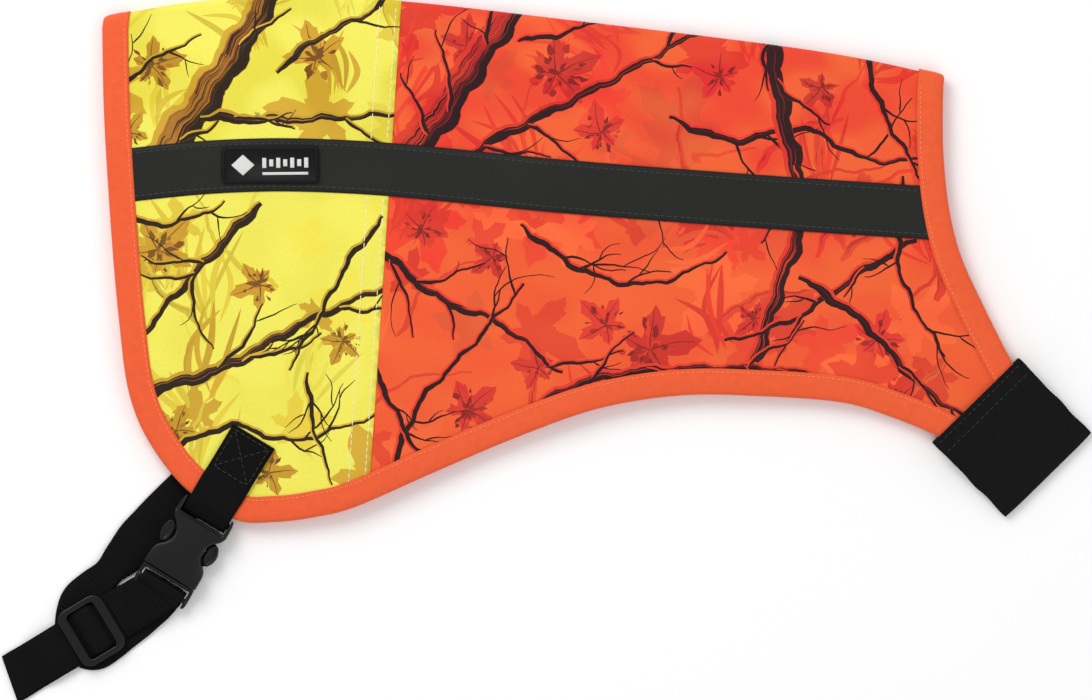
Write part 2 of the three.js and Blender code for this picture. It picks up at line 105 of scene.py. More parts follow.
def colour(name, text, code):
    return bpy.props.FloatVectorProperty(
        name=name, description=text, default=linear(code), min=0, max=1, size=3, subtype="COLOR")


def linear(code):
    """Linear colour of a six-digit hex code."""
    shares = [int(code[i:i + 2], 16) / 255 for i in (0, 2, 4)]
    return tuple(s / 12.92 if s <= 0.04045 else ((s + 0.055) / 1.055) ** 2.4 for s in shares)


class VestSizes(bpy.types.PropertyGroup):
    spine_length: length("Spine length", "Rear corner to neck corner along the fold", 0.434)
    body_depth: length("Body depth", "Spine to the lowest point of the hem", 0.2755)
    binding_width: length("Binding width", "Width of each leg of the edge binding", 0.013)
    seam_x: length("Seam place", "Rear corner to the lapped seam of the yellow panel", 0.152)
    tape_width: length("Tape width", "Width of the dark tape", 0.0275)
    tape_drop: length("Tape drop", "Spine to the middle of the tape", 0.087)
    web_width: length("Webbing width", "Width of the strap webbing", 0.025)
    web_pitch: length("Webbing rib pitch", "Distance from one rib of the webbing to the next", 0.0018)
    elastic_width: length("Elastic width", "Width of the chest elastic", 0.062)
    slack: length("Slack", "Height of the soft ripples in the upper half", 0.0024)
    stitch_pitch: length("Stitch pitch", "Distance from one stitch to the next", 0.0034)


class VestColours(bpy.types.PropertyGroup):
    orange: colour("Orange", "Ground of the orange cloth", "f0602f")
    yellow: colour("Yellow", "Ground of the yellow cloth", "efe75c")
    binding: colour("Binding", "Edge binding tape", "ec5a2a")
    tape: colour("Tape", "Dark tape along the flank", "20201e")
    webbing: colour("Webbing", "Strap webbing", "0a0a0a")
    elastic: colour("Elastic", "Chest elastic", "131313")
    plastic: colour("Plastic", "Buckle and slider", "0d0d0c")
    lining: colour("Lining", "Cloth inside the vest", "2a2b2c")
    rubber: colour("Rubber", "Label patch", "0d0d0d")
    motif: colour("Motif", "Raised marks of the label patch", "d8d8d4")


def sizes():
    return bpy.context.scene.vest_sizes


def colours():
    return bpy.context.scene.vest_colours


# ---------- lines ----------

def smooth(points, steps):
    """Points on a uniform Catmull-Rom curve through the given ones."""
    p = np.asarray(points, float)
    last = len(p) - 1
    out = []
    for k in range(steps + 1):
        place = last * k / steps
        i = min(int(place), last - 1) if last else 0
        t = place - i
        a, b, c, d = p[max(i - 1, 0)], p[i], p[min(i + 1, last)], p[min(i + 2, last)]
        m0, m1 = (c - a) / 2, (d - b) / 2
        out.append((2 * b - 2 * c + m0 + m1) * t ** 3 + (-3 * b + 3 * c - 2 * m0 - m1) * t ** 2 + m0 * t + b)
    return np.array(out)


def run_along(line):
    """Distance of each point along a line."""
    return np.concatenate(([0], np.cumsum(np.linalg.norm(np.diff(line, axis=0), axis=1))))


def evenly(line, step):
    """The same line with points at even distances of about step."""
    line = np.asarray(line, float)
    run = run_along(line)
    count = max(int(round(run[-1] / step)), 1)
    at = np.linspace(0, run[-1], count + 1)
    return np.stack([np.interp(at, run, line[:, k]) for k in range(line.shape[1])], axis=1)


def sideways(line):
    """Unit normals on the right of a flat line."""
    along = np.gradient(np.asarray(line, float)[:, :2], axis=0)
    along /= np.linalg.norm(along, axis=1)[:, None]
    return np.stack([along[:, 1], -along[:, 0]], axis=1)


def ramp(value):
    t = np.clip(value, 0, 1)
    return t * t * (3 - 2 * t)


class Cut:
    """Outline of one half in the row frame, and the place of a pattern point in the folded stack."""

    def __init__(self):
        size = sizes()
        self.scale = np.array((size.spine_length, -size.body_depth))
        self.origin = np.zeros(2)
        top = smooth([self.share(p) for p in SPINE_CUT], 28)
        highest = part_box("near_orange_shell")[1].y
        self.origin = np.array((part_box("near_hem_binding")[0].x, highest - top[:, 1].max()))
        self.spine = smooth([self.share(p) for p in SPINE_CUT], 120)
        self.tab = self.share(TAB_CUT)
        self.tab_along = np.array((math.cos(TAB_HEADING), math.sin(TAB_HEADING)))
        self.tab_across = np.array((-self.tab_along[1], self.tab_along[0]))
        half = TAB_WIDTH / 2
        low_end = [self.on_tab(0, -half), self.on_tab(TAB_TUCK, -half)]
        high_end = [self.on_tab(0, half), self.on_tab(TAB_TUCK, half)]
        self.hem = evenly(smooth([self.share(p) for p in HEM_CUT] + low_end, 304), 2.5 * MM)
        self.neck = evenly(smooth([self.share(p) for p in NECK_CUT] + high_end, 112), 2.5 * MM)
        self.hem_in = -sideways(self.hem)
        self.neck_in = sideways(self.neck)
        near = np.abs(self.hem[:, 0] - self.share((STRAP_CUT, 0))[0])
        near[self.hem[:, 1] > self.share((0, 0.8))[1]] = 1
        stop = int(near.argmin())
        self.strap = self.hem[stop]
        self.strap_out = -self.hem_in[stop]
        self.strap_side = np.array((-self.strap_out[1], self.strap_out[0]))

    def share(self, point):
        return self.origin + np.asarray(point, float) * self.scale

    def on_tab(self, along, across):
        return self.tab + self.tab_along * along + self.tab_across * across

    def on_strap(self, out, side):
        return self.strap + self.strap_out * out + self.strap_side * side

    def crest(self, x):
        return np.interp(x, self.spine[:, 0], self.spine[:, 1]) - CREST_DROP

    def ripple(self, x, y):
        """Height of the slack, which dies away at the crest, the chest tab and the belly strap."""
        total = sum(share * np.sin(2 * np.pi * (x * kx + y * ky) + phase) for kx, ky, phase, share in RIPPLES)
        height = sizes().slack * (0.5 + 0.4 * total)
        height = height * ramp((self.crest(x) - y) / 0.03)
        for place, clear in ((self.strap, 0.02), (self.tab, 0.035)):
            height = height * ramp((np.hypot(x - place[0], y - place[1]) - clear) / 0.06)
        return height

    def place(self, flat, radius, side=1):
        """Carries pattern points to the folded stack. Points above the crest line go round the fold."""
        flat = np.asarray(flat, float)
        x, y = flat[:, 0], flat[:, 1]
        crest = self.crest(x)
        over = np.maximum(y - crest, 0)
        angle = np.minimum(over / radius, np.pi / 2)
        placed_y = np.where(over > 0, crest + radius * np.sin(angle), y)
        z = FOLD_HEIGHT + side * radius * np.cos(angle)
        z = z + self.ripple(x, y) * (1 if side > 0 else -FAR_SAG)
        return np.stack([x, placed_y, z], axis=1)

    def outline(self, inset, radius):
        """One half's closed outline, drawn back from the bound edges and carried to the fold's crest."""
        hem = self.hem + self.hem_in * inset
        neck = self.neck + self.neck_in * inset
        hem = hem[hem[:, 1] < self.crest(hem[:, 0]) - 1 * MM]
        neck = neck[neck[:, 1] < self.crest(neck[:, 0]) - 1 * MM]
        x = np.linspace(self.hem[0, 0] + inset, self.neck[0, 0] - inset, 150)
        top = np.stack([x, self.crest(x) + radius * np.pi / 2], axis=1)
        return np.concatenate([hem, neck[::-1], top[::-1]])

    def seam(self, shift):
        """Two points of the leaning seam, above the spine and below the hem."""
        x, y = self.origin + (sizes().seam_x + shift, 0)
        lean, above, below = 0.05, 0.05, 0.4
        return [(x - lean * above, y + above), (x + lean * below, y - below)]

    def tape_line(self):
        """Middle of the tape, from beyond the rear edge to beyond the neck."""
        x0, y0 = self.origin
        far = sizes().spine_length
        drops = [(-0.02, 0.029), (0.065, 0.0095), (0.14, 0.001), (0.25, -0.0015), (far - 0.07, -0.006),
                 (far + 0.04, -0.0115)]
        return evenly(smooth([(x0 + x, y0 - sizes().tape_drop - drop) for x, drop in drops], 80), 2 * MM)


# ---------- meshes ----------

def make(name, vertices, faces, material):
    mesh = bpy.data.meshes.new(name)
    mesh.from_pydata([tuple(v) for v in vertices], [], [tuple(f) for f in faces])
    mesh.update()
    mesh.materials.append(material)
    for polygon in mesh.polygons:
        polygon.use_smooth = True
    obj = bpy.data.objects.new(name, mesh)
    bpy.context.scene.collection.objects.link(obj)
    return obj


def settle(obj):
    """Applies the modifiers."""
    graph = bpy.context.evaluated_depsgraph_get()
    evaluated = obj.evaluated_get(graph)
    mesh = bpy.data.meshes.new_from_object(evaluated, preserve_all_data_layers=True, depsgraph=graph)
    obj.modifiers.clear()
    obj.data = mesh


def thicken(obj, thickness):
    solid = obj.modifiers.new("thickness", "SOLIDIFY")
    solid.thickness = thickness
    solid.offset = 0
    settle(obj)


def fix_normals(obj):
    work = bmesh.new()
    work.from_mesh(obj.data)
    bmesh.ops.recalc_face_normals(work, faces=work.faces)
    work.to_mesh(obj.data)
    work.free()


def lay_uv(obj, flat):
    """Pattern coordinates in metres as a UV map, so a weave keeps its size and bends with the cloth."""
    layer = obj.data.uv_layers.new(name="cloth")
    index = np.zeros(len(obj.data.loops), int)
    obj.data.loops.foreach_get("vertex_index", index)
    layer.data.foreach_set("uv", np.asarray(flat)[index][:, :2].ravel())


def mirror_join(cut, vertices, faces, flat):
    """Adds the lower half as a mirror image with less slack. Both halves share the points on the crest."""
    on_crest = np.abs(vertices[:, 2] - FOLD_HEIGHT) < 1e-7
    other = np.arange(len(vertices))
    other[~on_crest] = len(vertices) + np.arange((~on_crest).sum())
    lower = vertices[~on_crest].copy()
    lower[:, 2] = 2 * FOLD_HEIGHT - lower[:, 2] + (1 - FAR_SAG) * cut.ripple(lower[:, 0], lower[:, 1])
    flipped = [tuple(int(other[i]) for i in reversed(face)) for face in faces]
    flats = np.concatenate([flat, flat[~on_crest] * (1, -1)])
    return np.concatenate([vertices, lower]), list(faces) + flipped, flats


def skin(rings, closed_section=True, caps=True):
    """Faces of a row of rings with equal counts."""
    count, rows = len(rings[0]), len(rings)
    faces = []
    for row in range(rows - 1):
        for k in range(count if closed_section else count - 1):
            a, b = row * count + k, row * count + (k + 1) % count
            faces.append((a, b, b + count, a + count))
    if caps:
        faces.append(tuple(reversed(range(count))))
        faces.append(tuple(range((rows - 1) * count, rows * count)))
    return np.concatenate(rings), faces


def merged(parts):
    """Several sets of points and faces as one."""
    vertices, faces = [], []
    for points, part_faces in parts:
        start = len(vertices)
        vertices += [tuple(point) for point in points]
        faces += [tuple(start + i for i in face) for face in part_faces]
    return vertices, faces


def declare(obj, slot, *nodes, body=None):
    """Hides the nodes that a piece stands for and hangs it on the body that carries it. The slot is not used.
    """
    if nodes:
        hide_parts(*nodes)
    if body:
        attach(obj, body)


def over_fold(obj):
    """Bakes the piece's placement into its mesh."""
    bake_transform(obj)


# ---------- materials ----------

class Shader:
    """A material under construction."""

    def __init__(self, name, roughness, **sockets):
        self.material = bpy.data.materials.new(name)
        self.material.use_nodes = True
        self.tree = self.material.node_tree
        self.surface = self.tree.nodes["Principled BSDF"]
        self.surface.inputs["Roughness"].default_value = roughness
        for socket, value in sockets.items():
            self.surface.inputs[socket.replace("_", " ")].default_value = value

    def node(self, kind, links=None, **settings):
        node = self.tree.nodes.new("ShaderNode" + kind)
        for key, value in settings.items():
            if hasattr(node, key):
                setattr(node, key, value)
            else:
                node.inputs[key.replace("_", " ")].default_value = value
        for socket, source in (links or {}).items():
            self.tree.links.new(source, node.inputs[socket])
        return node

    def link(self, source, socket):
        self.tree.links.new(source, self.surface.inputs[socket])

    def noise(self, vector, scale, detail=3.0):
        return self.node("TexNoise", {"Vector": vector}, Scale=scale, Detail=detail).outputs["Fac"]

    def tint(self, base, factor, low, high):
        """Base colour made darker and lighter by a factor."""
        spread = self.node("MapRange", {"Value": factor}, To_Min=low, To_Max=high)
        mix = self.node("Mix", data_type="RGBA", blend_type="MULTIPLY")
        mix.inputs[0].default_value = 1
        if isinstance(base, tuple):
            mix.inputs[6].default_value = (*base, 1)
        else:
            self.tree.links.new(base, mix.inputs[6])
        self.tree.links.new(spread.outputs["Result"], mix.inputs[7])
        return mix.outputs[2]

    def bump(self, height, strength, distance):
        node = self.node("Bump", {"Height": height}, Strength=strength, Distance=distance)
        self.link(node.outputs["Normal"], "Normal")

    def weave(self, vector, across, along):
        """Height of a plain weave: two crossed sets of waves."""
        waves = {}
        for k, (axis, scale) in enumerate((("X", across), ("Y", along))):
            wave = self.node("TexWave", {"Vector": vector}, bands_direction=axis, Scale=scale)
            waves[k] = wave.outputs["Fac"]
        return self.node("Math", waves, operation="MULTIPLY").outputs["Value"]


def printed_cloth(name):
    """Cloth that takes its colours from the print's faces."""
    shader = Shader(name, 0.72, Sheen_Weight=0.12, Specular_IOR_Level=0.25, Sheen_Roughness=0.4)
    ink = shader.node("Attribute", attribute_name="ink").outputs["Color"]
    vector = shader.node("UVMap", uv_map="cloth").outputs["UV"]
    clouded = shader.tint(ink, shader.noise(vector, 22, 4), 0.93, 1.06)
    shader.link(shader.tint(clouded, shader.noise(vector, 900, 2), 0.9, 1.1), "Base Color")
    shader.bump(shader.weave(vector, 560, 560), 0.35, 0.00012)
    return shader.material


# Each plain cloth: roughness, threads across and along, depth of its weave, sheen, spread of tone and gloss.
CLOTHS = {
    "binding": (0.62, (420, 420), 0.5, 0.1, (0.88, 1.12), 0.3),
    "tape": (0.42, (520, 520), 0.25, 0.02, (0.88, 1.12), 0.16),
    "lining": (0.9, (300, 300), 0.6, 0.05, (0.88, 1.12), 0.3),
    "webbing": (0.5, (800, 160), 0.6, 0.02, (0.6, 1.5), 0.06),
    "elastic": (0.8, (330, 500), 0.7, 0.02, (0.75, 1.3), 0.08),
}


def plain_cloth(kind):
    name = kind + "_cloth"
    if name in bpy.data.materials:
        return bpy.data.materials[name]
    roughness, threads, depth, sheen, spread, gloss = CLOTHS[kind]
    shader = Shader(name, roughness, Sheen_Weight=sheen, Specular_IOR_Level=gloss)
    vector = shader.node("UVMap", uv_map="cloth").outputs["UV"]
    base = tuple(getattr(colours(), kind))
    shader.link(shader.tint(base, shader.noise(vector, 260), *spread), "Base Color")
    shader.bump(shader.weave(vector, *threads), depth, 0.0002)
    return shader.material


def solid(name, base, roughness, cloud, spread, grain=None, **sockets):
    """A material with clouds of tone. Grain gives the scale, strength and depth of fine bumps."""
    if name in bpy.data.materials:
        return bpy.data.materials[name]
    shader = Shader(name, roughness, **sockets)
    place = shader.node("NewGeometry").outputs["Position"]
    shader.link(shader.tint(tuple(base), shader.noise(place, cloud), *spread), "Base Color")
    if grain:
        scale, strength, depth = grain
        shader.bump(shader.noise(place, scale, 2), strength, depth)
    return shader.material


def plastic():
    return solid("moulded_plastic", colours().plastic, 0.27, 90, (0.85, 1.2), (2600, 0.25, 0.00008),
                 Specular_IOR_Level=0.27)


def thread(name, code):
    return solid(name, linear(code), 0.6, 1500, (0.8, 1.15), Sheen_Weight=0.2)


# ---------- print: limbs, twigs and leaves drawn in pattern millimetres ----------

ORANGE_INKS = {
    "dark": "2a0d0e", "bark": "6a1a17", "rust": "a62a1f", "light": "cf3826", "halo": "e23e27",
    "ghost": "e64a2b", "pale": "ee6433", "leaf": "d8382a", "vein": "8a2019"}
YELLOW_INKS = {
    "dark": "27190c", "bark": "4f2f12", "rust": "8a4c1b", "light": "b3782a", "halo": "cfa631",
    "ghost": "dcc53f", "pale": "e6d94e", "leaf": "c8982a", "vein": "77501a"}

YELLOW_LIMBS = [
    ([(40, -96), (58, -64), (73, -34), (90, 6)], 14),
    ([(56, -72), (92, -69), (126, -64), (160, -58)], 4.6),
    ([(8, -66), (30, -44), (52, -30)], 2.6),
    ([(92, -44), (112, -24), (134, -10), (150, 6)], 3.6),
    ([(92, -112), (70, -142), (50, -170), (30, -202)], 5),
    ([(44, -216), (84, -198), (120, -172), (164, -146)], 6),
    ([(156, -112), (140, -138), (130, -164), (116, -196)], 3),
    ([(58, -246), (90, -228), (122, -232), (164, -214)], 3.2),
    ([(20, -128), (48, -128), (74, -114)], 3),
    ([(126, -196), (132, -222), (146, -252)], 2.6),
]
YELLOW_LEAVES = [(28, -48, 17, 0.4), (112, -34, 19, 2.0), (20, -84, 12, 1.1), (42, -142, 21, 0.9),
                 (62, -234, 17, 2.6), (112, -250, 14, 0.2), (140, -92, 14, 1.7), (96, -154, 15, 3.6),
                 (142, -178, 13, 4.4)]
ORANGE_LIMBS = [
    ([(164, -84), (182, -54), (197, -24), (214, 6)], 14),
    ([(196, -74), (232, -50), (268, -26), (312, 6)], 5),
    ([(214, -14), (240, -6), (262, 6)], 3),
    ([(296, -44), (330, -52), (366, -42), (402, -54), (446, -46)], 3.8),
    ([(342, 6), (356, -40), (370, -84), (362, -128), (350, -190)], 8),
    ([(430, -92), (404, -112), (372, -140), (338, -156)], 4),
    ([(226, -108), (262, -128), (298, -130), (334, -110)], 3.2),
    ([(150, -124), (188, -150), (222, -160), (256, -182)], 4.6),
    ([(236, -208), (270, -184), (320, -172), (384, -168), (452, -190)], 4.4),
    ([(172, -258), (184, -208), (206, -176), (232, -138)], 3.4),
    ([(372, -118), (408, -138), (440, -166), (478, -186)], 4.4),
    ([(270, -76), (300, -92), (322, -70)], 2.6),
    ([(392, 6), (404, -26), (432, -64)], 3.4),
    ([(420, -60), (424, -110), (452, -150)], 3),
    ([(160, -190), (186, -228), (214, -246)], 3),
]
ORANGE_LEAVES = [(236, -28, 22, 0.5), (262, -56, 16, 1.9), (300, -164, 25, 0.3), (276, -154, 17, 2.5),
                 (176, -116, 15, 1.2), (330, -86, 15, 0.1), (398, -84, 18, 2.2), (210, -206, 18, 0.8),
                 (244, -180, 14, 3.1), (416, -146, 16, 1.4), (320, -20, 16, 2.9), (188, -20, 16, 1.6),
                 (372, -20, 13, 4.1), (352, -142, 15, 5.2), (430, -176, 12, 0.9), (214, -126, 13, 3.9)]


class Print:
    """Coloured marks on one panel, later ones over earlier ones."""

    def __init__(self, seed, inks):
        self.random = random.Random(seed)
        self.inks = {key: linear(code) for key, code in inks.items()}
        self.marks = []

    def mark(self, outline, ink):
        shade = self.random.uniform(0.88, 1.14)
        self.marks.append((np.asarray(outline), tuple(min(c * shade, 1) for c in self.inks[ink])))

    def strip(self, line, low, high, ink):
        self.mark(np.concatenate([line + low, (line + high)[::-1]]), ink)

    def sliver(self, line, across, low, high, ink):
        """A strip between two shares of a limb's width that runs out at both ends."""
        swell = np.sin(np.linspace(0, np.pi, len(line)))[:, None]
        middle = (low + high) / 2
        left = line + across * (middle + (low - middle) * swell)
        right = line + across * (middle + (high - middle) * swell)
        self.mark(np.concatenate([left, right[::-1][1:-1]]), ink)

    def waves(self, count, size):
        """Slow wander along a line."""
        draw = self.random
        at = np.arange(count) * 2.5
        return sum(size / k * np.sin(at / (26 / k) * 2 * np.pi + draw.uniform(0, 6.3)) for k in (1, 2, 4))

    def limb(self, points, width, ink="dark", depth=2):
        """A limb with knots, a lit side towards the upper left, bark if thick, and its twigs."""
        line = evenly(smooth(points, 60), 2.5)
        if len(line) < 4:
            return
        line = line + sideways(line) * self.waves(len(line), 0.3 * min(width, 3))[:, None]
        across = sideways(line)
        share = np.linspace(0, 1, len(line))
        taper = 1 - share * (0.4 if width > 6 else 0.66)
        if width < 6:
            taper = taper * (0.45 + 0.55 * ramp(share / 0.12))
        half = width / 2 * taper * (1 + self.waves(len(line), 0.12))
        lit = 1.0 if across.mean(axis=0) @ np.array((-0.7, 0.7)) > 0 else -1.0
        side = across * lit * half[:, None]
        if depth > 0 and width > 1.6:
            spread = 1.9 if width > 8 else 1.5
            self.strip(line, -side * 1.04, side * spread + across * lit * 0.5, "halo")
        if width > 8:
            self.strip(line, -side, side * 1.45, "light")
            self.strip(line, -side, side * 0.25, ink)
            self.bark(line, side, width)
        else:
            self.strip(line, -side, side, ink)
            if width > 3.4:
                self.bark(line, side, width * 0.35)
        if depth:
            self.twigs(line, width, ink, depth)

    def bark(self, line, side, width):
        """Lit and dark streaks along a limb."""
        draw = self.random
        for _ in range(int(width * 6)):
            span = draw.randint(4, max(5, len(line) // 2))
            start = draw.randint(0, max(len(line) - span, 0))
            low = draw.uniform(-0.3, 1.3) if width > 8 else draw.uniform(-0.2, 0.7)
            ink = draw.choice(("dark", "bark", "rust", "light", "bark"))
            part = slice(start, start + span)
            if len(line[part]) > 3:
                self.sliver(line[part], side[part], low, low + draw.uniform(0.06, 0.2), ink)

    def twigs(self, line, width, ink, depth):
        draw = self.random
        reach = len(line) * 2.5
        for _ in range(max(int(reach / (30 if depth > 1 else 24)), 1)):
            k = draw.randint(2, len(line) - 2)
            along = line[k] - line[k - 2]
            turn = math.atan2(along[1], along[0]) + draw.choice((-1, 1)) * draw.uniform(0.35, 1.0)
            span = min(reach * draw.uniform(0.3, 0.8), draw.uniform(16, 44))
            point, points = line[k], [line[k]]
            for _ in range(3):
                point = point + span / 3 * np.array((math.cos(turn), math.sin(turn)))
                turn += draw.uniform(-0.5, 0.5)
                points.append(point)
            self.limb(points, min(max(width * 0.42, 0.9), 2.4), ink, depth - 1)

    def leaf(self, x, y, size, turn, ink="leaf", veins=True):
        """A toothed leaf with five lobes, with veins and flecks on the near ones."""
        draw = self.random
        ring = []
        for k in range(60):
            angle = 2 * math.pi * k / 60
            lobes = abs(math.cos(2.5 * angle)) ** 1.7
            tooth = (0.09, -0.05, 0.0)[k % 3] * draw.uniform(0.5, 1.4)
            reach = size * (0.4 + 0.62 * lobes + tooth) * (0.76 + 0.24 * math.cos(angle))
            ring.append((x + reach * math.cos(angle + turn), y + reach * math.sin(angle + turn)))
        self.mark(ring, ink)
        if not veins:
            return
        for _ in range(int(size * 1.6)):
            angle, out = draw.uniform(0, 6.3), size * draw.uniform(0.05, 0.6)
            reach = size * draw.uniform(0.04, 0.13)
            self.fleck(x + out * math.cos(angle), y + out * math.sin(angle), reach, angle)
        for k in range(5):
            angle = turn + 2 * math.pi * k / 5
            tip = size * (0.76 + 0.24 * math.cos(angle - turn)) * 0.95
            points = [(x + tip * share * math.cos(angle + bend), y + tip * share * math.sin(angle + bend))
                      for share, bend in ((0, 0), (0.5, 0.08), (1, 0))]
            self.limb(points, 0.8, "vein", 0)

    def fleck(self, x, y, size, turn):
        draw = self.random
        ring = []
        for k in range(6):
            angle = turn + 2 * math.pi * k / 6
            reach = size * draw.uniform(0.4, 1.3) * (1.7 if k % 3 == 0 else 0.8)
            ring.append((x + reach * math.cos(angle), y + reach * math.sin(angle)))
        self.mark(ring, draw.choice(("vein", "vein", "rust", "halo", "light")))

    def blades(self, x, y, turn, ink):
        """A fan of long thin leaves."""
        draw = self.random
        for _ in range(7):
            angle = turn + draw.uniform(-0.55, 0.55)
            span, bend = draw.uniform(22, 52), draw.uniform(-9, 9)
            along = np.array((math.cos(angle), math.sin(angle)))
            across = np.array((-along[1], along[0]))
            start = np.array((x, y)) + across * draw.uniform(-7, 7)
            line = smooth([start, start + along * span / 2 + across * bend, start + along * span], 14)
            self.sliver(line, sideways(line), -draw.uniform(0.8, 2.6), draw.uniform(0.4, 1.6), ink)

    def ghosts(self, low, high, count):
        """Faint leaves, blades and limbs behind the rest."""
        draw = self.random
        for _ in range(count):
            x, y = draw.uniform(*low), draw.uniform(*high)
            ink = draw.choice(("ghost", "ghost", "halo", "pale"))
            kind = draw.random()
            if kind < 0.5:
                self.leaf(x, y, draw.uniform(12, 34), draw.uniform(0, 6), ink, False)
            elif kind < 0.72:
                self.blades(x, y, draw.uniform(0.6, 2.6), ink)
            else:
                turn, span = draw.uniform(0.4, 2.4), draw.uniform(30, 90)
                end = (x + span * math.cos(turn), y + span * math.sin(turn))
                bend = (x + span * 0.5 * math.cos(turn + 0.3), y + span * 0.5 * math.sin(turn + 0.3))
                self.limb([(x, y), bend, end], draw.uniform(1.4, 6), ink, 0)


def mottle(flat, seed):
    """Soft patches from 0 to 1 over pattern points."""
    draw = random.Random(seed)
    total = 0
    for _ in range(16):
        turn, pitch, phase = draw.uniform(0, math.pi), draw.uniform(20, 80) * MM, draw.uniform(0, 6.3)
        place = flat[..., 0] * math.cos(turn) + flat[..., 1] * math.sin(turn)
        total = total + np.sin(place / pitch * 2 * np.pi + phase)
    return ramp(total / 6 + 0.5)


def orange_print():
    work = Print(11, ORANGE_INKS)
    work.ghosts((150, 480), (-110, 0), 60)
    work.ghosts((150, 480), (-240, -90), 55)
    for x, y, size, turn in ORANGE_LEAVES:
        work.leaf(x, y, size, turn)
    for points, width in ORANGE_LIMBS:
        work.limb(points, width)
    return work.marks


def yellow_print():
    work = Print(23, YELLOW_INKS)
    work.ghosts((0, 170), (-270, 0), 40)
    for x, y, size, turn in YELLOW_LEAVES:
        work.leaf(x, y, size, turn)
    for points, width in YELLOW_LIMBS:
        work.limb(points, width)
    return work.marks


# ---------- cloth panels ----------

def inside(points, polygon):
    """Which points lie inside a closed polygon, wherever its outline winds round them."""
    x, y = points[:, :1], points[:, 1:]
    a, b = polygon, np.roll(polygon, -1, axis=0)
    rise = b[:, 1] - a[:, 1]
    cross = a[:, 0] + (y - a[:, 1]) * (b[:, 0] - a[:, 0]) / np.where(rise == 0, 1, rise)
    turns = ((a[:, 1] <= y) & (b[:, 1] > y) & (x < cross)).astype(int)
    turns -= (a[:, 1] > y) & (b[:, 1] <= y) & (x < cross)
    return turns.sum(axis=1) != 0


def ink_triangles(middles, marks, ground, origin):
    """Colour of each triangle, from the last mark that holds its middle."""
    inks = np.tile(np.array(ground, float), (len(middles), 1))
    for outline, ink in marks:
        outline = origin + outline * MM
        low, high = outline.min(0), outline.max(0)
        near = np.nonzero(((middles >= low) & (middles <= high)).all(axis=1))[0]
        if len(near):
            inks[near[inside(middles[near], outline)]] = ink
    return inks


def grid_points(cut, outline, radius, spacing):
    """Loose points inside a panel: a staggered grid, and rows round the fold."""
    low, high = outline.min(0), outline.max(0)
    points = []
    row = 0
    y = low[1]
    while y < high[1]:
        x = low[0] + (spacing / 2 if row % 2 else 0)
        while x < high[0]:
            if y < cut.crest(x) - spacing / 2:
                points.append((x, y))
            x += spacing
        y += spacing * 0.866
        row += 1
    for share in (0, 0.3, 0.6, 0.85):
        for x in np.arange(low[0], high[0], 3 * MM):
            points.append((x, float(cut.crest(x)) + radius * math.pi / 2 * share))
    return points


def triangulate(cut, outline, polygons, radius, spacing):
    """Pattern points and triangles whose edges follow every polygon."""
    points, edges = [], []
    for polygon in polygons:
        first, count = len(points), len(polygon)
        edges += [(first + k, first + (k + 1) % count) for k in range(count)]
        points += [tuple(p) for p in polygon]
    points += grid_points(cut, outline, radius, spacing)
    result = delaunay_2d_cdt([Vector(p) for p in points], edges, [], 0, 1e-7)
    return np.array([tuple(v) for v in result[0]]), np.array([tuple(face) for face in result[2]])


def seam_cut(cut, shift, side):
    """The region on one side of the seam."""
    top, low = cut.seam(shift)
    edge = evenly([low, top], 3 * MM)
    return np.concatenate([edge, [(top[0] + side, top[1]), (low[0] + side, low[1])]])


def panel(name, cut, radius, inset, region, marks, ground, material, spacing=4.5 * MM, wash=(0, 0, 0)):
    """A panel of both halves, one piece over the fold. Its print is crisp faces under a soft wash."""
    outline = cut.outline(inset, radius)
    polygons = [outline] + [cut.origin + mark * MM for mark, _ in marks] + region
    flat, faces = triangulate(cut, outline, polygons, radius, spacing)
    middles = flat[faces].mean(axis=1)
    held = inside(middles, outline)
    for polygon in region:
        held &= inside(middles, polygon)
    inks = ink_triangles(middles[held], marks, ground, cut.origin)
    used, kept = np.unique(faces[held], return_inverse=True)
    kept = kept.reshape(-1, 3)
    flat = flat[used]
    triangles = [tuple(int(i) for i in face) for face in kept]
    whole, faces, flats = mirror_join(cut, cut.place(flat, radius), triangles, flat)
    obj = make(name, whole, faces, material)
    lay_uv(obj, flats)
    layer = obj.data.color_attributes.new("ink", "FLOAT_COLOR", "CORNER")
    corners = flat[kept]
    upper_part = ramp((corners[..., 1] - cut.origin[1] + 0.13) / 0.07)
    share = mottle(corners, len(marks)) * (0.35 + 0.65 * upper_part)
    washed = inks[:, None, :] * (1 - share[..., None] * np.array(wash))
    upper = np.concatenate([washed, np.ones((*washed.shape[:2], 1))], axis=2)
    layer.data.foreach_set("color", np.concatenate([upper, upper[:, ::-1]]).ravel())
    thicken(obj, 0.3 * MM)
    return obj


def fold_sheet(obj, slot, *nodes):
    """Hides the nodes that a panel stands for and bakes its placement into its mesh. The panel is one sheet
    over the fold.
    """
    declare(obj, slot, *nodes)
    over_fold(obj)


# ---------- threads ----------

# Each ring of a stitch: place along it, share of its gauge, and rise in gauges.
STITCH_RINGS = [(0.0, 0.25, -0.6), (0.18, 0.85, 0.0), (0.5, 1.0, 0.35), (0.82, 0.85, 0.0), (1.0, 0.25, -0.6)]


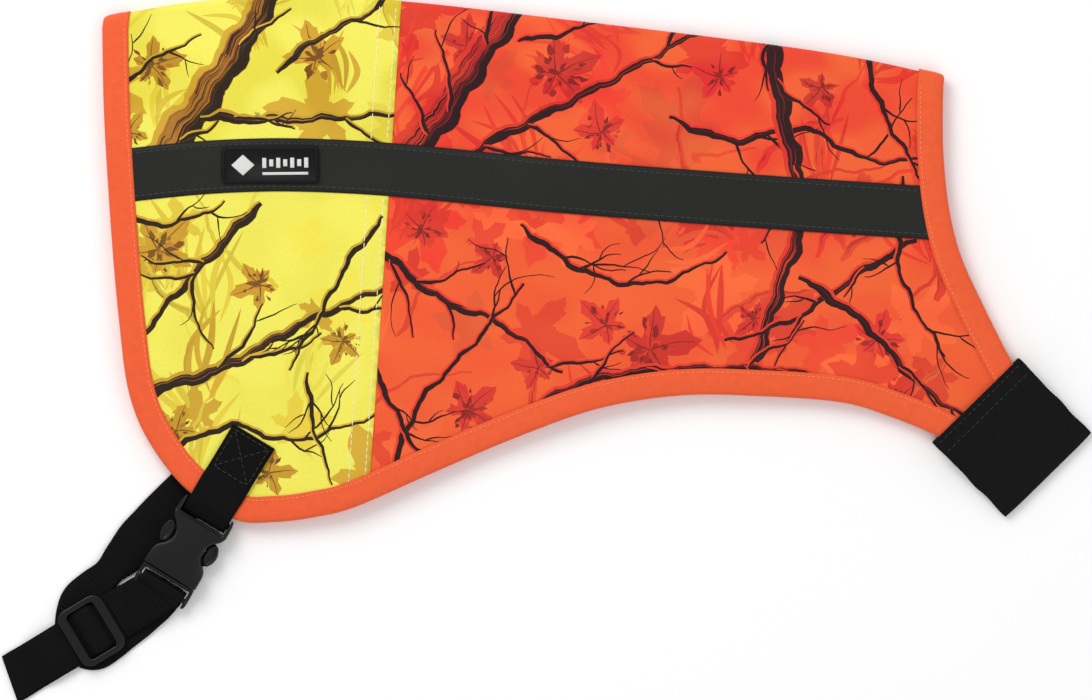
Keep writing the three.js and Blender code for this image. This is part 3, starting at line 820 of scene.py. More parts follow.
def stitch_row(name, line, material, slot, body, pitch=None, gauge=0.22 * MM, share=0.72):
    """Separate stitches along a line of 3-D points, each a small rounded bead of thread."""
    stops = evenly(line, pitch or sizes().stitch_pitch)
    turn = np.linspace(0, 2 * np.pi, 6, endpoint=False)[:, None]
    stitches = []
    for start, end in zip(stops[:-1], stops[1:]):
        along = (end - start) * share
        across = np.cross(along, (0, 0, 1))
        across /= np.linalg.norm(across)
        up = np.cross(across, along / np.linalg.norm(along))
        section = across * np.cos(turn) + up * 0.8 * np.sin(turn)
        rings = [start + along * place + up * gauge * rise + section * gauge * swell
                 for place, swell, rise in STITCH_RINGS]
        stitches.append(skin(rings[::-1]))
    declare(make(name, *merged(stitches), material), slot, body=body)


def both_sides(name, cut, flat, radius, material, slot, **options):
    """The same row of stitches on the near and the far half."""
    flat = flat[flat[:, 1] < cut.crest(flat[:, 0]) - 0.5 * MM]
    for half, side in (("near", 1), ("far", -1)):
        stitch_row(f"{name}_{half}", cut.place(flat, radius, side), material, slot, half + "_side", **options)


# ---------- operators ----------

class VEST_OT_lining(bpy.types.Operator):
    """Builds the lining inside both halves"""

    bl_idname = "vest.lining"
    bl_label = "Lining"
    bl_options = {"REGISTER", "UNDO"}

    def execute(self, context):
        obj = panel("lining", Cut(), LINING_RADIUS, 1.2 * MM, [], [], colours().lining, plain_cloth("lining"),
                    spacing=7 * MM)
        fold_sheet(obj, "lining", "near_lining", "far_lining")
        return {"FINISHED"}


class VEST_OT_orange_shell(bpy.types.Operator):
    """Builds the orange shell, one piece over the spine"""

    bl_idname = "vest.orange_shell"
    bl_label = "Orange Shell"
    bl_options = {"REGISTER", "UNDO"}

    lap = 12 * MM

    def execute(self, context):
        cut = Cut()
        region = [seam_cut(cut, -self.lap, 1)]
        obj = panel("orange_shell", cut, ORANGE_RADIUS, 0.8 * MM, region, orange_print(), colours().orange,
                    printed_cloth("orange_cloth"), wash=(0.06, 0.5, 0.2))
        fold_sheet(obj, "orange_print", "near_orange_shell", "far_orange_shell")
        return {"FINISHED"}


class VEST_OT_yellow_panel(bpy.types.Operator):
    """Builds the yellow rear panel with its two rows of topstitching"""

    bl_idname = "vest.yellow_panel"
    bl_label = "Yellow Panel"
    bl_options = {"REGISTER", "UNDO"}

    def execute(self, context):
        cut = Cut()
        region = [seam_cut(cut, 0, -1)]
        obj = panel("yellow_panel", cut, YELLOW_RADIUS, 0.8 * MM, region, yellow_print(), colours().yellow,
                    printed_cloth("yellow_cloth"), wash=(0.1, 0.14, 0.45))
        fold_sheet(obj, "yellow_print", "near_yellow_panel", "far_yellow_panel")
        for row, shift in enumerate((-2.6 * MM, -11 * MM)):
            self.topstitch(cut, row + 1, shift)
        return {"FINISHED"}

    def topstitch(self, cut, row, shift):
        """One row beside the seam, above and below the tape."""
        (top_x, top_y), (low_x, low_y) = cut.seam(shift)
        y = np.linspace(0, -0.2755, 200) + cut.origin[1]
        x = top_x + (low_x - top_x) * (y - top_y) / (low_y - top_y)
        belly = cut.hem[np.argmin(cut.hem[:, 1]):]
        line = np.stack([x, y], axis=1)[y > np.interp(x, belly[:, 0], belly[:, 1]) + 11.5 * MM]
        tape = cut.tape_line()
        off_tape = line[:, 1] - np.interp(line[:, 0], tape[:, 0], tape[:, 1])
        clear = sizes().tape_width / 2 + 0.5 * MM
        for part, kept in (("upper", off_tape > clear), ("lower", off_tape < -clear)):
            both_sides(f"seam_{part}_stitches_{row}", cut, line[kept], YELLOW_RADIUS + 0.24 * MM,
                       thread("seam_thread", "f7f4d2"), "yellow_print", gauge=0.26 * MM, share=0.8)


def binding_section(width):
    """Section of a folded tape, as distance in from the edge and distance from the fold's height."""
    width, outer, inner, thick = width / MM, BINDING_RADIUS / MM, 0.45, 0.28
    middle = (outer + inner) / 2
    outside = [(width, outer + 0.02), (width * 0.9, outer + 0.14), (width * 0.84, outer + 0.02),
               (width * 0.7, outer + 0.2), (width * 0.4, outer + 0.28), (width * 0.14, outer + 0.12),
               (0.15, outer - 0.45), (-0.5, middle), (0.15, inner + 0.35), (1.2, inner), (width * 0.5, inner),
               (width, inner)]
    high, low = outer - thick, inner + thick
    within = [(width, low), (width * 0.5, low), (1.6, low + 0.1), (0.5, middle), (1.6, high - 0.2),
              (width * 0.4, high + 0.16), (width * 0.7, high + 0.1), (width, high)]
    return np.array(outside + within) * MM


def bind_edge(name, cut, line, inward, *nodes):
    """A binding tape along one edge of the near half, over the crest and along the far half."""
    width = sizes().binding_width
    section = binding_section(width)
    depth, radius = section[:, :1], section[:, 1]
    keep = line[:, 1] < cut.crest(line[:, 0]) - 1.5 * MM
    line, inward = line[keep], inward[keep]
    run = run_along(line)
    pucker = 0.1 * MM * np.sin(run / (5.5 * MM) * 2 * np.pi + 1.7 * np.sin(run * 90))
    base = line[0] + inward[0] * depth
    rings, stations = [], []
    for angle in np.radians((90, 67.5, 45, 22.5, 0)):
        over = cut.crest(base[:, 0]) + radius * math.sin(angle)
        rings.append(np.stack([base[:, 0], over, FOLD_HEIGHT + radius * math.cos(angle)], axis=1))
        stations.append(-2 * MM - angle * 2 * MM)
    rings[0][:, 2] = FOLD_HEIGHT
    for k, point in enumerate(line):
        ring = cut.place(point + inward[k] * depth, radius)
        ring[:, 2] += pucker[k] * (radius > 2 * MM)
        rings.append(ring)
        stations.append(run[k])
    vertices, faces = skin(rings, caps=False)
    count = len(section)
    faces.append(tuple(range(len(vertices) - count, len(vertices))))
    flat = np.column_stack([np.repeat(stations, count), np.tile(section.sum(axis=1), len(rings))])
    vertices, faces, flat = mirror_join(cut, vertices, faces, flat)
    obj = make(name, vertices, faces, plain_cloth("binding"))
    lay_uv(obj, flat)
    fix_normals(obj)
    declare(obj, "binding", *nodes)
    over_fold(obj)
    both_sides(name + "_stitches", cut, line + inward * width * 0.86, BINDING_RADIUS + 0.12 * MM,
               thread("binding_thread", "ff9360"), "binding", pitch=2.6 * MM, gauge=0.2 * MM)


class VEST_OT_bindings(bpy.types.Operator):
    """Builds the edge bindings of the hem and the neck"""

    bl_idname = "vest.bindings"
    bl_label = "Bindings"
    bl_options = {"REGISTER", "UNDO"}

    def execute(self, context):
        cut = Cut()
        bind_edge("hem_binding", cut, cut.hem, cut.hem_in, "near_hem_binding", "far_hem_binding")
        bind_edge("neck_binding", cut, cut.neck, cut.neck_in, "near_neck_binding", "far_neck_binding")
        return {"FINISHED"}


class VEST_OT_tapes(bpy.types.Operator):
    """Builds the dark tape on each half with its two rows of stitches"""

    bl_idname = "vest.tapes"
    bl_label = "Tapes"
    bl_options = {"REGISTER", "UNDO"}

    columns = 13

    def execute(self, context):
        cut = Cut()
        line = cut.tape_line()
        inset = sizes().binding_width * 0.6
        rear = cut.hem + cut.hem_in * inset
        left = self.edge_x(rear[:np.argmin(rear[:, 1])], line)
        right = self.edge_x(cut.neck + cut.neck_in * inset, line)
        line = line[(line[:, 0] > left) & (line[:, 0] < right)]
        across = sideways(line) * sizes().tape_width / 2
        self.tape(cut, line, across, 1, "near")
        self.tape(cut, line, across, -1, "far")
        return {"FINISHED"}

    def edge_x(self, edge, line):
        """X of an edge at each height of the line."""
        order = np.argsort(edge[:, 1])
        return np.interp(line[:, 1], edge[order, 1], edge[order, 0])

    def tape(self, cut, line, across, side, half):
        shares = np.linspace(-1, 1, self.columns)
        rings = [cut.place(point + out * shares[:, None], TAPE_RADIUS, side)
                 for point, out in zip(line, across)]
        vertices, faces = skin(rings, closed_section=False, caps=False)
        obj = make(f"{half}_flank_tape", vertices, faces, plain_cloth("tape"))
        stations = np.repeat(2 * MM * np.arange(len(line)), self.columns)
        lay_uv(obj, np.column_stack([stations, np.tile(shares * sizes().tape_width / 2, len(line))]))
        fix_normals(obj)
        thicken(obj, 0.22 * MM)
        declare(obj, "dark_tape", f"{half}_reflective_tape", body=f"{half}_side")
        for row, share in enumerate((-0.8, 0.8)):
            stitches = cut.place(line + across * share, TAPE_RADIUS + 0.16 * MM, side)
            stitch_row(f"tape_stitches_{half}_side_{row + 1}", stitches, thread("tape_thread", "3a3a38"),
                       "dark_tape", f"{half}_side", gauge=0.16 * MM)


def rounded(width, depth, radius, steps=5):
    """Corners of a rounded rectangle about the origin."""
    points = []
    for quarter, (sx, sy) in enumerate(((1, -1), (1, 1), (-1, 1), (-1, -1))):
        centre = np.array((sx * (width / 2 - radius), sy * (depth / 2 - radius)))
        for k in range(steps + 1):
            turn = math.radians(-90 + 90 * quarter + 90 * k / steps)
            points.append(centre + radius * np.array((math.cos(turn), math.sin(turn))))
    return np.array(points)


class VEST_OT_label(bpy.types.Operator):
    """Builds the moulded label patch with a plain raised motif"""

    bl_idname = "vest.label"
    bl_label = "Label Patch"
    bl_options = {"REGISTER", "UNDO"}

    width, depth = 50, 19
    # Inset, height and corner radius of each ring of the plate, in millimetres.
    steps = [(0, 0, 2.0), (0, 0.9, 2.0), (0.35, 1.25, 1.8), (1.1, 1.35, 1.5), (1.6, 1.25, 1.3),
             (1.9, 0.75, 1.2)]

    def execute(self, context):
        cut = Cut()
        low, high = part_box("label_patch")
        self.middle = np.array(((low.x + high.x) / 2, (low.y + high.y) / 2))
        line = cut.tape_line()
        k = int(np.abs(line[:, 0] - self.middle[0]).argmin())
        self.along = line[k + 1] - line[k - 1]
        self.along /= np.linalg.norm(self.along)
        self.base = float(cut.place(self.middle[None], LABEL_RADIUS - 0.3 * MM)[0, 2])
        rings = [self.ring(rounded(self.width - 2 * inset, self.depth - 2 * inset, radius), height)
                 for inset, height, radius in self.steps]
        rubber = solid("patch_rubber", colours().rubber, 0.5, 300, (0.8, 1.25), (2000, 0.3, 0.00006),
                       Specular_IOR_Level=0.15)
        plate = make("label_plate", *skin(rings), rubber)
        fix_normals(plate)
        declare(plate, "label_rubber", "label_patch", body="near_side")
        pale = solid("motif_rubber", colours().motif, 0.5, 500, (0.9, 1.05), Specular_IOR_Level=0.4)
        motif = make("label_motif", *merged([self.raised(shape) for shape in self.shapes()]), pale)
        fix_normals(motif)
        declare(motif, "label_rubber", body="near_side")
        return {"FINISHED"}

    def ring(self, outline, height):
        """An outline laid on the patch at a height, both in millimetres."""
        across = np.array((-self.along[1], self.along[0]))
        flat = self.middle + (outline[:, :1] * self.along + outline[:, 1:] * across) * MM
        return np.column_stack([flat, np.full(len(flat), self.base + height * MM)])

    def shapes(self):
        """A lozenge, a row of bars and a rule below them, in millimetres."""
        shapes = [((-20, 0), (-14, -5.4), (-8, 0), (-14, 5.4))]
        for k in range(7):
            left, right = 3.6 * k - 4, 3.6 * k - 1.9
            low, high = (-0.8, 2.8) if k % 2 else (-1.6, 3.6)
            shapes.append(((left, low), (right, low), (right, high), (left, high)))
        return shapes + [((-4, -5.2), (19.7, -5.2), (19.7, -3.8), (-4, -3.8))]

    def raised(self, shape):
        shape = np.array(shape)
        middle = shape.mean(0)
        return skin([self.ring(middle + (shape - middle) * grow, height)
                     for grow, height in ((1, 0.7), (1, 1.0), (0.9, 1.12))])


# ---------- bands: elastic and webbing ----------

def band(name, centres, across, width, thickness, material, rib, rib_height, edge_wave, columns=12, skew=0):
    """A woven band with rounded edges along a 3-D line. Each across vector's length narrows the band there.

    Ribs are waves of its thickness along its length, and skew slants its far end."""
    joined = evenly(np.concatenate([centres, np.asarray(across) * MM], axis=1), rib / 5)
    centres, across = joined[:, :3], joined[:, 3:] / MM
    narrow = np.linalg.norm(across, axis=1)
    across = across / narrow[:, None]
    along = np.gradient(centres, axis=0)
    along /= np.linalg.norm(along, axis=1)[:, None]
    normal = np.cross(along, across)
    normal /= np.linalg.norm(normal, axis=1)[:, None]
    run = run_along(centres)
    shares = np.linspace(-1, 1, columns + 1)
    shape = (1 - np.abs(shares) ** 6 * 0.75) * thickness / 2
    grain = rib_height * 0.35 * np.cos(np.arange(columns + 1) * math.pi)
    half = width / 2 * narrow + edge_wave * (np.sin(run * 260) + 0.6 * np.sin(run * 410 + 1))
    lift = rib_height * (0.5 - 0.5 * np.cos(2 * np.pi * run / rib))
    slant = skew * ramp(1 - (run[-1] - run) / (12 * MM))
    rings, flats = [], []
    for k, centre in enumerate(centres):
        out = shares * half[k]
        spine = centre + across[k] * out[:, None] + along[k] * slant[k] * shares[:, None]
        rise = normal[k] * (shape + lift[k] + grain)[:, None]
        rings.append(np.concatenate([spine + rise, (spine - rise)[::-1]]))
        flats.append(np.column_stack([np.concatenate([out, out[::-1]]), np.full(2 * len(out), run[k])]))
    obj = make(name, *skin(rings), material)
    lay_uv(obj, np.concatenate(flats))
    fix_normals(obj)
    return obj


class VEST_OT_chest_elastic(bpy.types.Operator):
    """Builds the folded chest elastic over the end of the chest tab"""

    bl_idname = "vest.chest_elastic"
    bl_label = "Chest Elastic"
    bl_options = {"REGISTER", "UNDO"}

    thick = 1.2 * MM
    reach = 54 * MM
    fold = 1.5 * MM

    def execute(self, context):
        cut = Cut()
        clear = BINDING_RADIUS + 0.35 * MM + self.thick / 2
        top, low = FOLD_HEIGHT + clear, FOLD_HEIGHT - clear
        turn_at = self.reach - self.fold - self.thick / 2
        turn_z = low + self.fold

        def bend(side, angles):
            return [(turn_at + self.fold * math.sin(a), turn_z + side * self.fold * math.cos(a))
                    for a in np.radians(angles)]

        fall = smooth([(-0.5 * MM, top), (5 * MM, top), (12 * MM, top - 0.3 * MM), (22 * MM, top - 3.2 * MM),
                       (36 * MM, turn_z + self.fold + 1.2 * MM),
                       (turn_at - 3 * MM, turn_z + self.fold + 0.1 * MM)], 60)
        near = list(fall) + bend(1, (0, 30, 60, 90))
        far = [(-0.5 * MM, low), (20 * MM, low + 0.1 * MM), (turn_at, low)] + bend(-1, (30, 60, 90))
        pieces = ((near, "chest_elastic_upper", "near_side", "far_side", "chest_elastic_near"),
                  (far, "chest_elastic_lower", "far_side", "near_side", "chest_elastic_far"))
        for route, name, body, other, node in pieces:
            centres = [[*cut.on_tab(along, 0), z] for along, z in route]
            across = [[*cut.tab_across, 0]] * len(centres)
            obj = band(name, centres, across, sizes().elastic_width, self.thick, plain_cloth("elastic"),
                       rib=1.6 * MM, rib_height=0.05 * MM, edge_wave=0.22 * MM, columns=40)
            declare(obj, "elastic", node)
            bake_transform(obj)
        half = sizes().elastic_width / 2 - 2 * MM
        for row, along in enumerate((2.2 * MM, 8.2 * MM)):
            height = top + self.thick / 2 + 0.05 * MM
            line = [[*cut.on_tab(along, out), height] for out in np.linspace(-half, half, 40)]
            stitch_row(f"elastic_stitches_{row + 1}", line, thread("elastic_thread", "202020"), "elastic",
                       "near_side", gauge=0.16 * MM)
        return {"FINISHED"}


# Route of the belly strap in millimetres: out from the hem, towards the neck, lean and share of its width.
FAR_LEG = [(-42, -7, 0, 1), (-20, -10.4, 0, 1), (-2, -14.2, 0, 1), (20, -19.6, 0, 1), (36, -23.2, -1, 0.96),
           (48, -26, -2, 0.78), (57, -28, -3, 0.62), (66, -29.6, 0, 0.8), (76, -30.6, 0, 0.98),
           (86, -29, 0, 0.92), (94, -24.6, 0, 0.86), (96.8, -18.6, 0, 0.84)]
RETURN_LEG = [(96.8, -18.6, 0, 0.84), (94.4, -12.8, 0, 0.84), (87, -9.6, 0, 0.88), (78, -7.4, 0, 0.96),
              (68, -4.4, 0, 1), (58, -1.2, 0, 1), (49, 0, 0, 1)]

FEMALE_BAR = 4.5 * MM
MALE_BAR = 49.2 * MM
STRAP_LOW = 0.9 * MM


def ribbed(name, centres, across, skew=0):
    """A run of the strap webbing."""
    obj = band(name, centres, across, sizes().web_width, 1.15 * MM, plain_cloth("webbing"), sizes().web_pitch,
               0.2 * MM, 0.07 * MM, skew=skew)
    return obj


def buckle_middle():
    return sum(corner.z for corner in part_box("buckle_female")) / 2


class VEST_OT_belly_strap(bpy.types.Operator):
    """Builds the belly strap: the far leg, the turn, the wrap over the male bar, the strand and its tail"""

    bl_idname = "vest.belly_strap"
    bl_label = "Belly Strap"
    bl_options = {"REGISTER", "UNDO"}

    def execute(self, context):
        self.cut = Cut()
        self.legs()
        self.strand()
        self.anchor()
        return {"FINISHED"}

    def at(self, out, side, z):
        return [*self.cut.on_strap(out, side), z]

    def on_strand(self, out, z=0):
        """A point on the strand, out from the male bar."""
        return self.at(MALE_BAR + math.cos(STRAND_HEADING) * out, math.sin(STRAND_HEADING) * out, z)

    def side_at(self, heading):
        flat = self.cut.strap_out * -math.sin(heading) + self.cut.strap_side * math.cos(heading)
        return np.array((*flat, 0))

    def flat_run(self, route):
        """Centres and directions across of a run that lies down, with its lean and its share of the width."""
        dense = smooth(route, 90)
        along = np.gradient(dense[:, :2], axis=0)
        centres, across = [], []
        for (out, side, lean, share), turn in zip(dense, np.arctan2(along[:, 1], along[:, 0])):
            tilt = math.radians(lean)
            across.append((self.side_at(turn) * math.cos(tilt) + (0, 0, math.sin(tilt))) * share)
            rise = sizes().web_width / 2 * math.sin(abs(tilt)) * share
            centres.append(self.at(out * MM, side * MM, STRAP_LOW + rise))
        return centres, across

    def legs(self):
        leg = ribbed("strap_far_leg", *self.flat_run(FAR_LEG))
        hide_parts("belly_strap_lower_run")
        start, end = self.at(0, -14 * MM, 0), self.at(97 * MM, -14 * MM, 0)
        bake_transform(leg)
        centres, across = self.flat_run(RETURN_LEG)
        for k, point in enumerate(centres):
            point[2] += 1.2 * MM * float(ramp((k / len(centres) - 0.5) / 0.4))
        back = ribbed("strap_return_leg", centres, across)
        self.at(96 * MM, 0, 0)
        self.at(60 * MM, 0, 0)
        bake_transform(back)

    def strand(self):
        """Over the male bar, through the slider and on to the tail, in four pieces."""
        middle, radius, bulge = buckle_middle(), 2.35 * MM, 4.3 * MM
        wrap = [self.at(53 * MM, 0, middle - radius - 0.6 * MM)]
        for turn in np.radians(-75 - 200 * np.arange(13) / 12):
            reach = bulge if math.cos(turn) < 0 else radius
            wrap.append(self.at(MALE_BAR + reach * math.cos(turn), 0, middle + radius * math.sin(turn)))
        top, under, over = (middle + radius) / MM, 2.9, 5.0
        tail = STRAP_LOW / MM + 0.1
        profile = [(1.2, top - 0.1), (2.6, top - 1.1), (4.2, top - 2.1), (8, top - 2.6), (13, top - 3.3),
                   (18, under + 1.2), (24, under + 0.3), (29.5, under), (34.6, under), (38, over - 0.5),
                   (40.4, over), (44.6, over), (47, over - 0.5), (50.4, under), (55.5, under),
                   (69, under - 0.1), (79, tail), (92, tail)]
        stops = [(out, self.on_strand(out, z), self.side_at(STRAND_HEADING * float(ramp(out / (11 * MM)))))
                 for out, z in smooth(profile, 160) * MM]
        cuts = np.array((0, 13, 29, 56, 1000)) * MM
        parts = [[stop for stop in stops if low <= stop[0] <= high + 0.01 * MM]
                 for low, high in zip(cuts[:-1], cuts[1:])]
        for before, after in zip(parts[:-1], parts[1:]):
            after.insert(0, before[-1])
        runs = [([stop[1] for stop in part], [stop[2] for stop in part]) for part in parts]
        head = ribbed("strap_bar_wrap", wrap + runs[0][0], [self.side_at(0)] * len(wrap) + runs[0][1])
        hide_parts("belly_strap_upper_run")
        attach(head, "male")
        upper = ribbed("strap_strand", *runs[1])
        self.on_strand(13 * MM)
        self.on_strand(29 * MM)
        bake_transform(upper)
        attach(ribbed("strap_slider_bridge", *runs[2]), "tri_glide")
        end = ribbed("strap_tail", *runs[3], skew=2.6 * MM)
        self.on_strand(57 * MM)
        self.on_strand(84 * MM)
        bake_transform(end)

    def anchor(self):
        """The near webbing loop, sewn to the cloth and passed round the female bar."""
        middle, radius = buckle_middle(), 2.45 * MM
        top = FOLD_HEIGHT + BINDING_RADIUS + 0.95 * MM
        over = [(-42.7, -0.2), (-30, 0), (-14, 0.1), (-4, 0.1), (0.4, 0)]
        route = [(out * MM, top + rise * MM) for out, rise in over] + [(3.2 * MM, middle + radius + 0.8 * MM)]
        route += [(FEMALE_BAR + 3.6 * MM * math.cos(turn), middle + radius * math.sin(turn))
                  for turn in np.radians(62 - 150 * np.arange(9) / 8)]
        route.append((FEMALE_BAR - 1.5 * MM, middle - radius))
        centres = [self.at(out, 0, z) for out, z in route]
        loop = ribbed("strap_anchor_loop", centres, [self.side_at(0)] * len(centres))
        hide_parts("near_strap_anchor")
        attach(loop, "near_side")
        inner, outer, half = -40.6 * MM, -19 * MM, sizes().web_width / 2 - 2.4 * MM
        box = [(inner, -half), (inner, half), (outer, half), (outer, -half), (inner, -half), (outer, half),
               (outer, -half), (inner, half)]
        line = [self.at(*corner, top + 0.72 * MM) for corner in box]
        stitch_row("anchor_stitches", line, thread("web_thread", "1d1d1c"), "webbing", "near_side",
                   gauge=0.2 * MM)


# ---------- moulded pieces ----------

def prism(outline, low, high, chamfer=0.0):
    """A closed solid between two heights, with chamfered rims. All its sizes are in millimetres."""
    outline = np.asarray(outline, float)
    away = outline - outline.mean(0)
    away /= np.linalg.norm(away, axis=1)[:, None]
    levels = [(low, 0), (high, 0)]
    if chamfer:
        levels = [(low, chamfer), (low + chamfer, 0), (high - chamfer, 0), (high, chamfer)]
    return skin([np.column_stack([outline - away * inset, np.full(len(outline), z)]) for z, inset in levels])


def annulus(outer, inner, low, high):
    """A closed ring between two outlines with equal counts."""
    rings = [np.column_stack([line, np.full(len(line), z)])
             for line, z in ((outer, low), (outer, high), (inner, high), (inner, low))]
    count = len(outer)
    vertices, faces = skin(rings, caps=False)
    last = 3 * count
    faces += [(last + k, last + (k + 1) % count, (k + 1) % count, k) for k in range(count)]
    return vertices, faces


def slab(x0, x1, y0, y1, z0, z1):
    return prism([(x0, y0), (x1, y0), (x1, y1), (x0, y1)], z0, z1)


def rod(x, radius, half, z, steps=20):
    """A round bar across the strap."""
    turn = np.linspace(0, 2 * np.pi, steps, endpoint=False)
    section = x + radius * np.cos(turn), z + radius * np.sin(turn)
    return skin([np.column_stack([section[0], np.full(steps, y), section[1]]) for y in (-half, half)])


def mirrored(outline, low, high, chamfer=0.0):
    """A prism on each side of the strap's middle."""
    return [prism([(x, sign * y) for x, y in outline], low, high, chamfer) for sign in (-1, 1)]


def swell(obj, cut, middle, height):
    """Domes both faces of the buckle's shell."""
    points = np.array([v.co for v in obj.data.vertices])
    out = (points[:, :2] - cut.strap) @ cut.strap_out
    across = (points[:, :2] - cut.strap) @ cut.strap_side
    level = points[:, 2] - middle
    face = ramp((np.abs(level) - 2.6 * MM) / (1.2 * MM)) * np.sign(level)
    rise = np.sin(np.clip((out - 9 * MM) / (34 * MM), 0, 1) * np.pi)
    points[:, 2] += height * np.clip(1 - (across / (14 * MM)) ** 2, 0, 1) * rise * face
    obj.data.vertices.foreach_set("co", points.ravel())


def moulded(name, cut, parts, body, node, voxel=0.38, rounds=5, turn=0.0, centre=(0, 0)):
    """Joins closed parts into one smooth moulding. Parts are in strap millimetres: out, across and height."""
    vertices, faces = merged(parts)
    x, y, z = np.array(vertices).T * MM
    out = centre[0] + x * math.cos(turn) - y * math.sin(turn)
    side = centre[1] + x * math.sin(turn) + y * math.cos(turn)
    flat = cut.strap + out[:, None] * cut.strap_out + side[:, None] * cut.strap_side
    obj = make(name, np.column_stack([flat, z]), faces, plastic())
    fix_normals(obj)
    remesh = obj.modifiers.new("join", "REMESH")
    remesh.mode = "VOXEL"
    remesh.voxel_size = voxel * MM
    remesh.use_smooth_shade = True
    relax = obj.modifiers.new("soften", "SMOOTH")
    relax.iterations = rounds
    relax.factor = 0.5
    settle(obj)
    if not obj.data.materials:
        obj.data.materials.append(plastic())
    declare(obj, "buckle_plastic", node, body=body)
    return obj


# Side of the female shell in strap millimetres, from the webbing bar to the mouth.
FEMALE_SIDE = [(0.6, 13.6), (1.6, 14.4), (4, 14.9), (10.5, 15.2), (13, 14.2), (14.6, 12.6), (16.6, 10.6),
               (19, 9.2), (22, 8.7), (25, 9.2), (27.4, 10.6), (29.4, 12.8), (31, 14.2), (33.5, 15.0),
               (38, 15.2), (41.5, 15.2)]


class VEST_OT_buckle(bpy.types.Operator):
    """Builds the side-release buckle: female shell, male body and two prongs"""

    bl_idname = "vest.buckle"
    bl_label = "Buckle"
    bl_options = {"REGISTER", "UNDO"}

    plate = 1.9
    dome = 1.6 * MM

    def execute(self, context):
        cut = Cut()
        low, high = (corner.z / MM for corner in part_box("buckle_female"))
        middle = (low + high) / 2
        shell = moulded("buckle_shell", cut, self.female(low, high, middle), "near_side", "buckle_female")
        swell(shell, cut, middle * MM, self.dome)
        moulded("buckle_plug", cut, self.male(low, high, middle), "male", "buckle_male")
        for sign, side in ((-1, "left"), (1, "right")):
            prong = f"prong_{side}"
            moulded(f"prong_arm_{side}", cut, self.prong(sign, middle), prong, prong, 0.28, 2)
        return {"FINISHED"}

    def female(self, low, high, middle):
        side = [(x, y) for x, y in FEMALE_SIDE if x >= 10.5]
        outline = side + [(x, -y) for x, y in reversed(side)]
        ear = [(x, y) for x, y in FEMALE_SIDE if x <= 13] + [(13, 12.9), (2, 13.1), (0.6, 13.1)]
        wall = [(x, y) for x, y in FEMALE_SIDE if x >= 29] + [(41.5, 12.9), (30.2, 12.7)]
        return [prism(outline, high - self.plate, high, 0.5), prism(outline, low, low + self.plate, 0.5),
                *mirrored(ear, low + 0.6, high - 0.4, 0.3), *mirrored(wall, low + 0.2, high - 0.2, 0.2),
                slab(9.4, 12.7, -13.6, 13.6, low + 0.5, high - 0.9), rod(FEMALE_BAR / MM, 1.5, 14, middle)]

    def male(self, low, high, middle):
        rail = [(42.5, 13.25), (42.5, 15.1), (50, 15.3), (52.4, 15.0), (53.3, 14.2), (53.2, 13.25)]
        return [slab(41.8, 43.6, -14.9, 14.9, low + 0.9, high - 0.9),
                *mirrored(rail, middle - 2.0, middle + 0.6, 0.3), rod(MALE_BAR / MM, 1.35, 14, middle),
                slab(23, 42.4, -2.5, 2.5, middle - 1.5, middle + 1.5)]

    def prong(self, sign, middle):
        """An arm with a thumb pad and the pad's oval rim."""
        turns = np.linspace(0, math.pi, 13)
        pad = zip(22 - 6.6 * np.cos(turns), 11.0 + 5.4 * np.sin(turns))
        outline = [(41.4, 8.6), (30, 9.0), (17.5, 9.4), *pad, (31, 10.9), (41.4, 10.7)]
        arm = prism([(x, sign * y) for x, y in outline], middle - 2.0, middle + 2.0, 0.5)
        turns = np.linspace(0, 2 * np.pi, 28, endpoint=False)
        oval = np.stack([np.cos(turns), np.sin(turns) * sign], axis=1)
        heart = np.array((22, sign * 13.1))
        outer, inner = heart + oval * (6.0, 2.9), heart + oval * (4.7, 1.7)
        return [arm, annulus(outer, inner, middle - 2.5, middle + 2.5)]


class VEST_OT_slider(bpy.types.Operator):
    """Builds the tri-glide slider"""

    bl_idname = "vest.slider"
    bl_label = "Slider"
    bl_options = {"REGISTER", "UNDO"}

    half, across, bar, rail = 13, 13.1, 5, 3.1
    out = 42.5 * MM

    def execute(self, context):
        low, high = (corner.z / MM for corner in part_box("tri_glide"))
        under = low + 1.8
        outer = rounded(2 * self.half, 2 * (self.across + self.rail), 6, 6)
        inner = rounded(2 * (self.half - self.bar), 2 * self.across, 2, 6)
        end, tip = self.half - 5, self.across + 1
        parts = [annulus(outer, inner, under, high), slab(-1.6, 1.6, -tip, tip, low, under)]
        near, far = self.across + 0.1, self.across + self.rail - 0.2
        parts += [slab(-end, end, *sorted((sign * near, sign * far)), low, high - 0.1) for sign in (-1, 1)]
        centre = (MALE_BAR + self.out * math.cos(STRAND_HEADING), self.out * math.sin(STRAND_HEADING))
        moulded("slider_frame", Cut(), parts, "tri_glide", "tri_glide", 0.36, 4, STRAND_HEADING, centre)
        return {"FINISHED"}


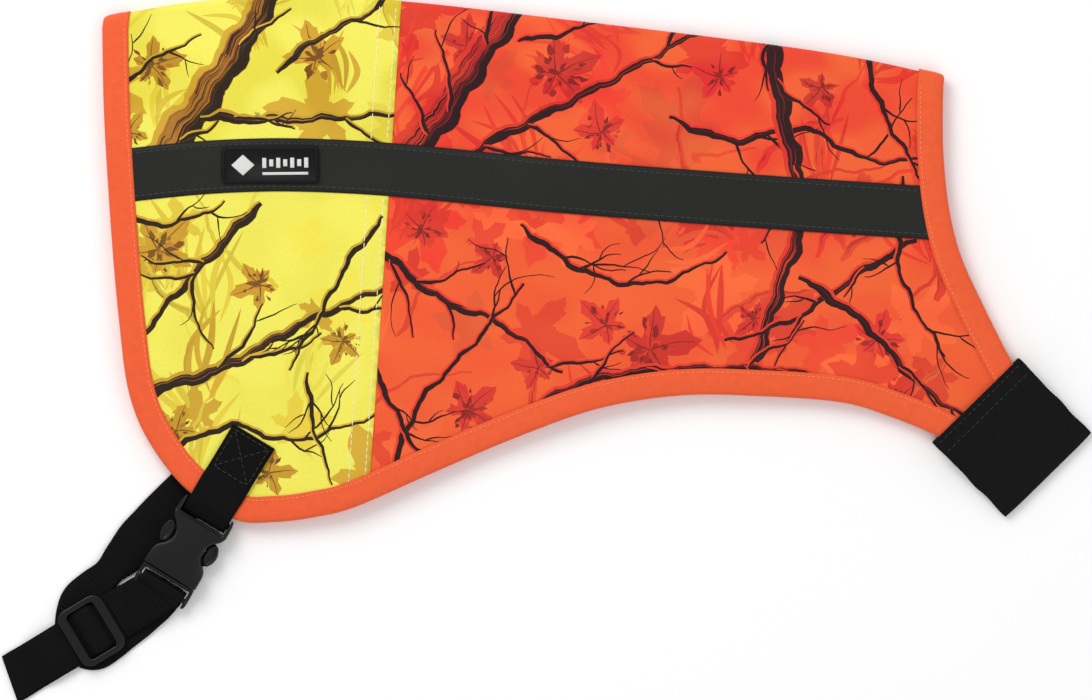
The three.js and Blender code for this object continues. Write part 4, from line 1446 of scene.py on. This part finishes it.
class VEST_OT_stage(bpy.types.Operator):
    """Builds the pale floor, the soft lights and the camera"""

    bl_idname = "vest.stage"
    bl_label = "Stage"
    bl_options = {"REGISTER", "UNDO"}

    roll = math.radians(6.6)
    height = 4.0

    def execute(self, context):
        paper = solid("floor_paper", (0.985, 0.985, 0.985), 0.9, 6, (0.99, 1.0), Specular_IOR_Level=0.1)
        floor = make("floor", [(-4, -4, 0), (4, -4, 0), (4, 4, 0), (-4, 4, 0)], [(0, 1, 2, 3)], paper)
        floor.location.z = -0.2 * MM
        self.lights(context.scene)
        self.camera(context.scene)
        context.scene.view_settings.view_transform = "Standard"
        return {"FINISHED"}

    def camera(self, scene):
        """Straight above the middle of the frame, as wide as its nodes."""
        points = np.concatenate([np.array([v.co for v in node.data.vertices])[:, :2]
                                 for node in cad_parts.values()])
        right = np.array((math.cos(self.roll), math.sin(self.roll)))
        up = np.array((-right[1], right[0]))
        spans = [(float((points @ axis).min()), float((points @ axis).max())) for axis in (right, up)]
        middle = right * sum(spans[0]) / 2 + up * sum(spans[1]) / 2
        camera = bpy.data.objects.new("camera", bpy.data.cameras.new("camera"))
        scene.collection.objects.link(camera)
        camera.location = (*middle, self.height)
        camera.rotation_euler = (0, 0, self.roll)
        camera.data.lens = camera.data.sensor_width * self.height / (spans[0][1] - spans[0][0])
        camera.data.clip_start, camera.data.clip_end = 0.1, 50
        scene.camera = camera

    def lights(self, scene):
        world = bpy.data.worlds.new("studio")
        world.use_nodes = True
        background = world.node_tree.nodes["Background"]
        background.inputs["Color"].default_value = (1, 1, 1, 1)
        background.inputs["Strength"].default_value = 0.66
        scene.world = world
        lamps = (("key", (-0.9, 1.0, 1.4), 1.0, 17), ("fill", (1.2, -0.8, 1.8), 1.6, 7))
        for name, place, size, power in lamps:
            light = bpy.data.lights.new(name, "AREA")
            light.size = size
            light.energy = power
            lamp = bpy.data.objects.new(name, light)
            lamp.location = place
            lamp.rotation_euler = Vector(place).to_track_quat("Z", "Y").to_euler()
            scene.collection.objects.link(lamp)


OPERATORS = (VEST_OT_stage, VEST_OT_lining, VEST_OT_orange_shell, VEST_OT_yellow_panel, VEST_OT_bindings,
             VEST_OT_tapes, VEST_OT_label, VEST_OT_chest_elastic, VEST_OT_belly_strap, VEST_OT_buckle,
             VEST_OT_slider)


class VEST_PT_pieces(bpy.types.Panel):
    """Lists the sizes, the colours and the pieces"""

    bl_label = "Dog Vest"
    bl_idname = "VEST_PT_pieces"
    bl_space_type = "VIEW_3D"
    bl_region_type = "UI"
    bl_category = "Dog Vest"

    def draw(self, context):
        for group in (context.scene.vest_sizes, context.scene.vest_colours):
            box = self.layout.box()
            for name in group.bl_rna.properties.keys():
                if name not in ("rna_type", "name"):
                    box.prop(group, name)
        for operator in OPERATORS:
            self.layout.operator(operator.bl_idname)


CLASSES = (VestSizes, VestColours, *OPERATORS, VEST_PT_pieces)


def register():
    for each in CLASSES:
        bpy.utils.register_class(each)
    bpy.types.Scene.vest_sizes = bpy.props.PointerProperty(type=VestSizes)
    bpy.types.Scene.vest_colours = bpy.props.PointerProperty(type=VestColours)


def unregister():
    del bpy.types.Scene.vest_colours
    del bpy.types.Scene.vest_sizes
    for each in reversed(CLASSES):
        bpy.utils.unregister_class(each)


def main():
    register()
    for operator in OPERATORS:
        group, name = operator.bl_idname.split(".")
        getattr(getattr(bpy.ops, group), name)()


if __name__ == "__main__":
    main()
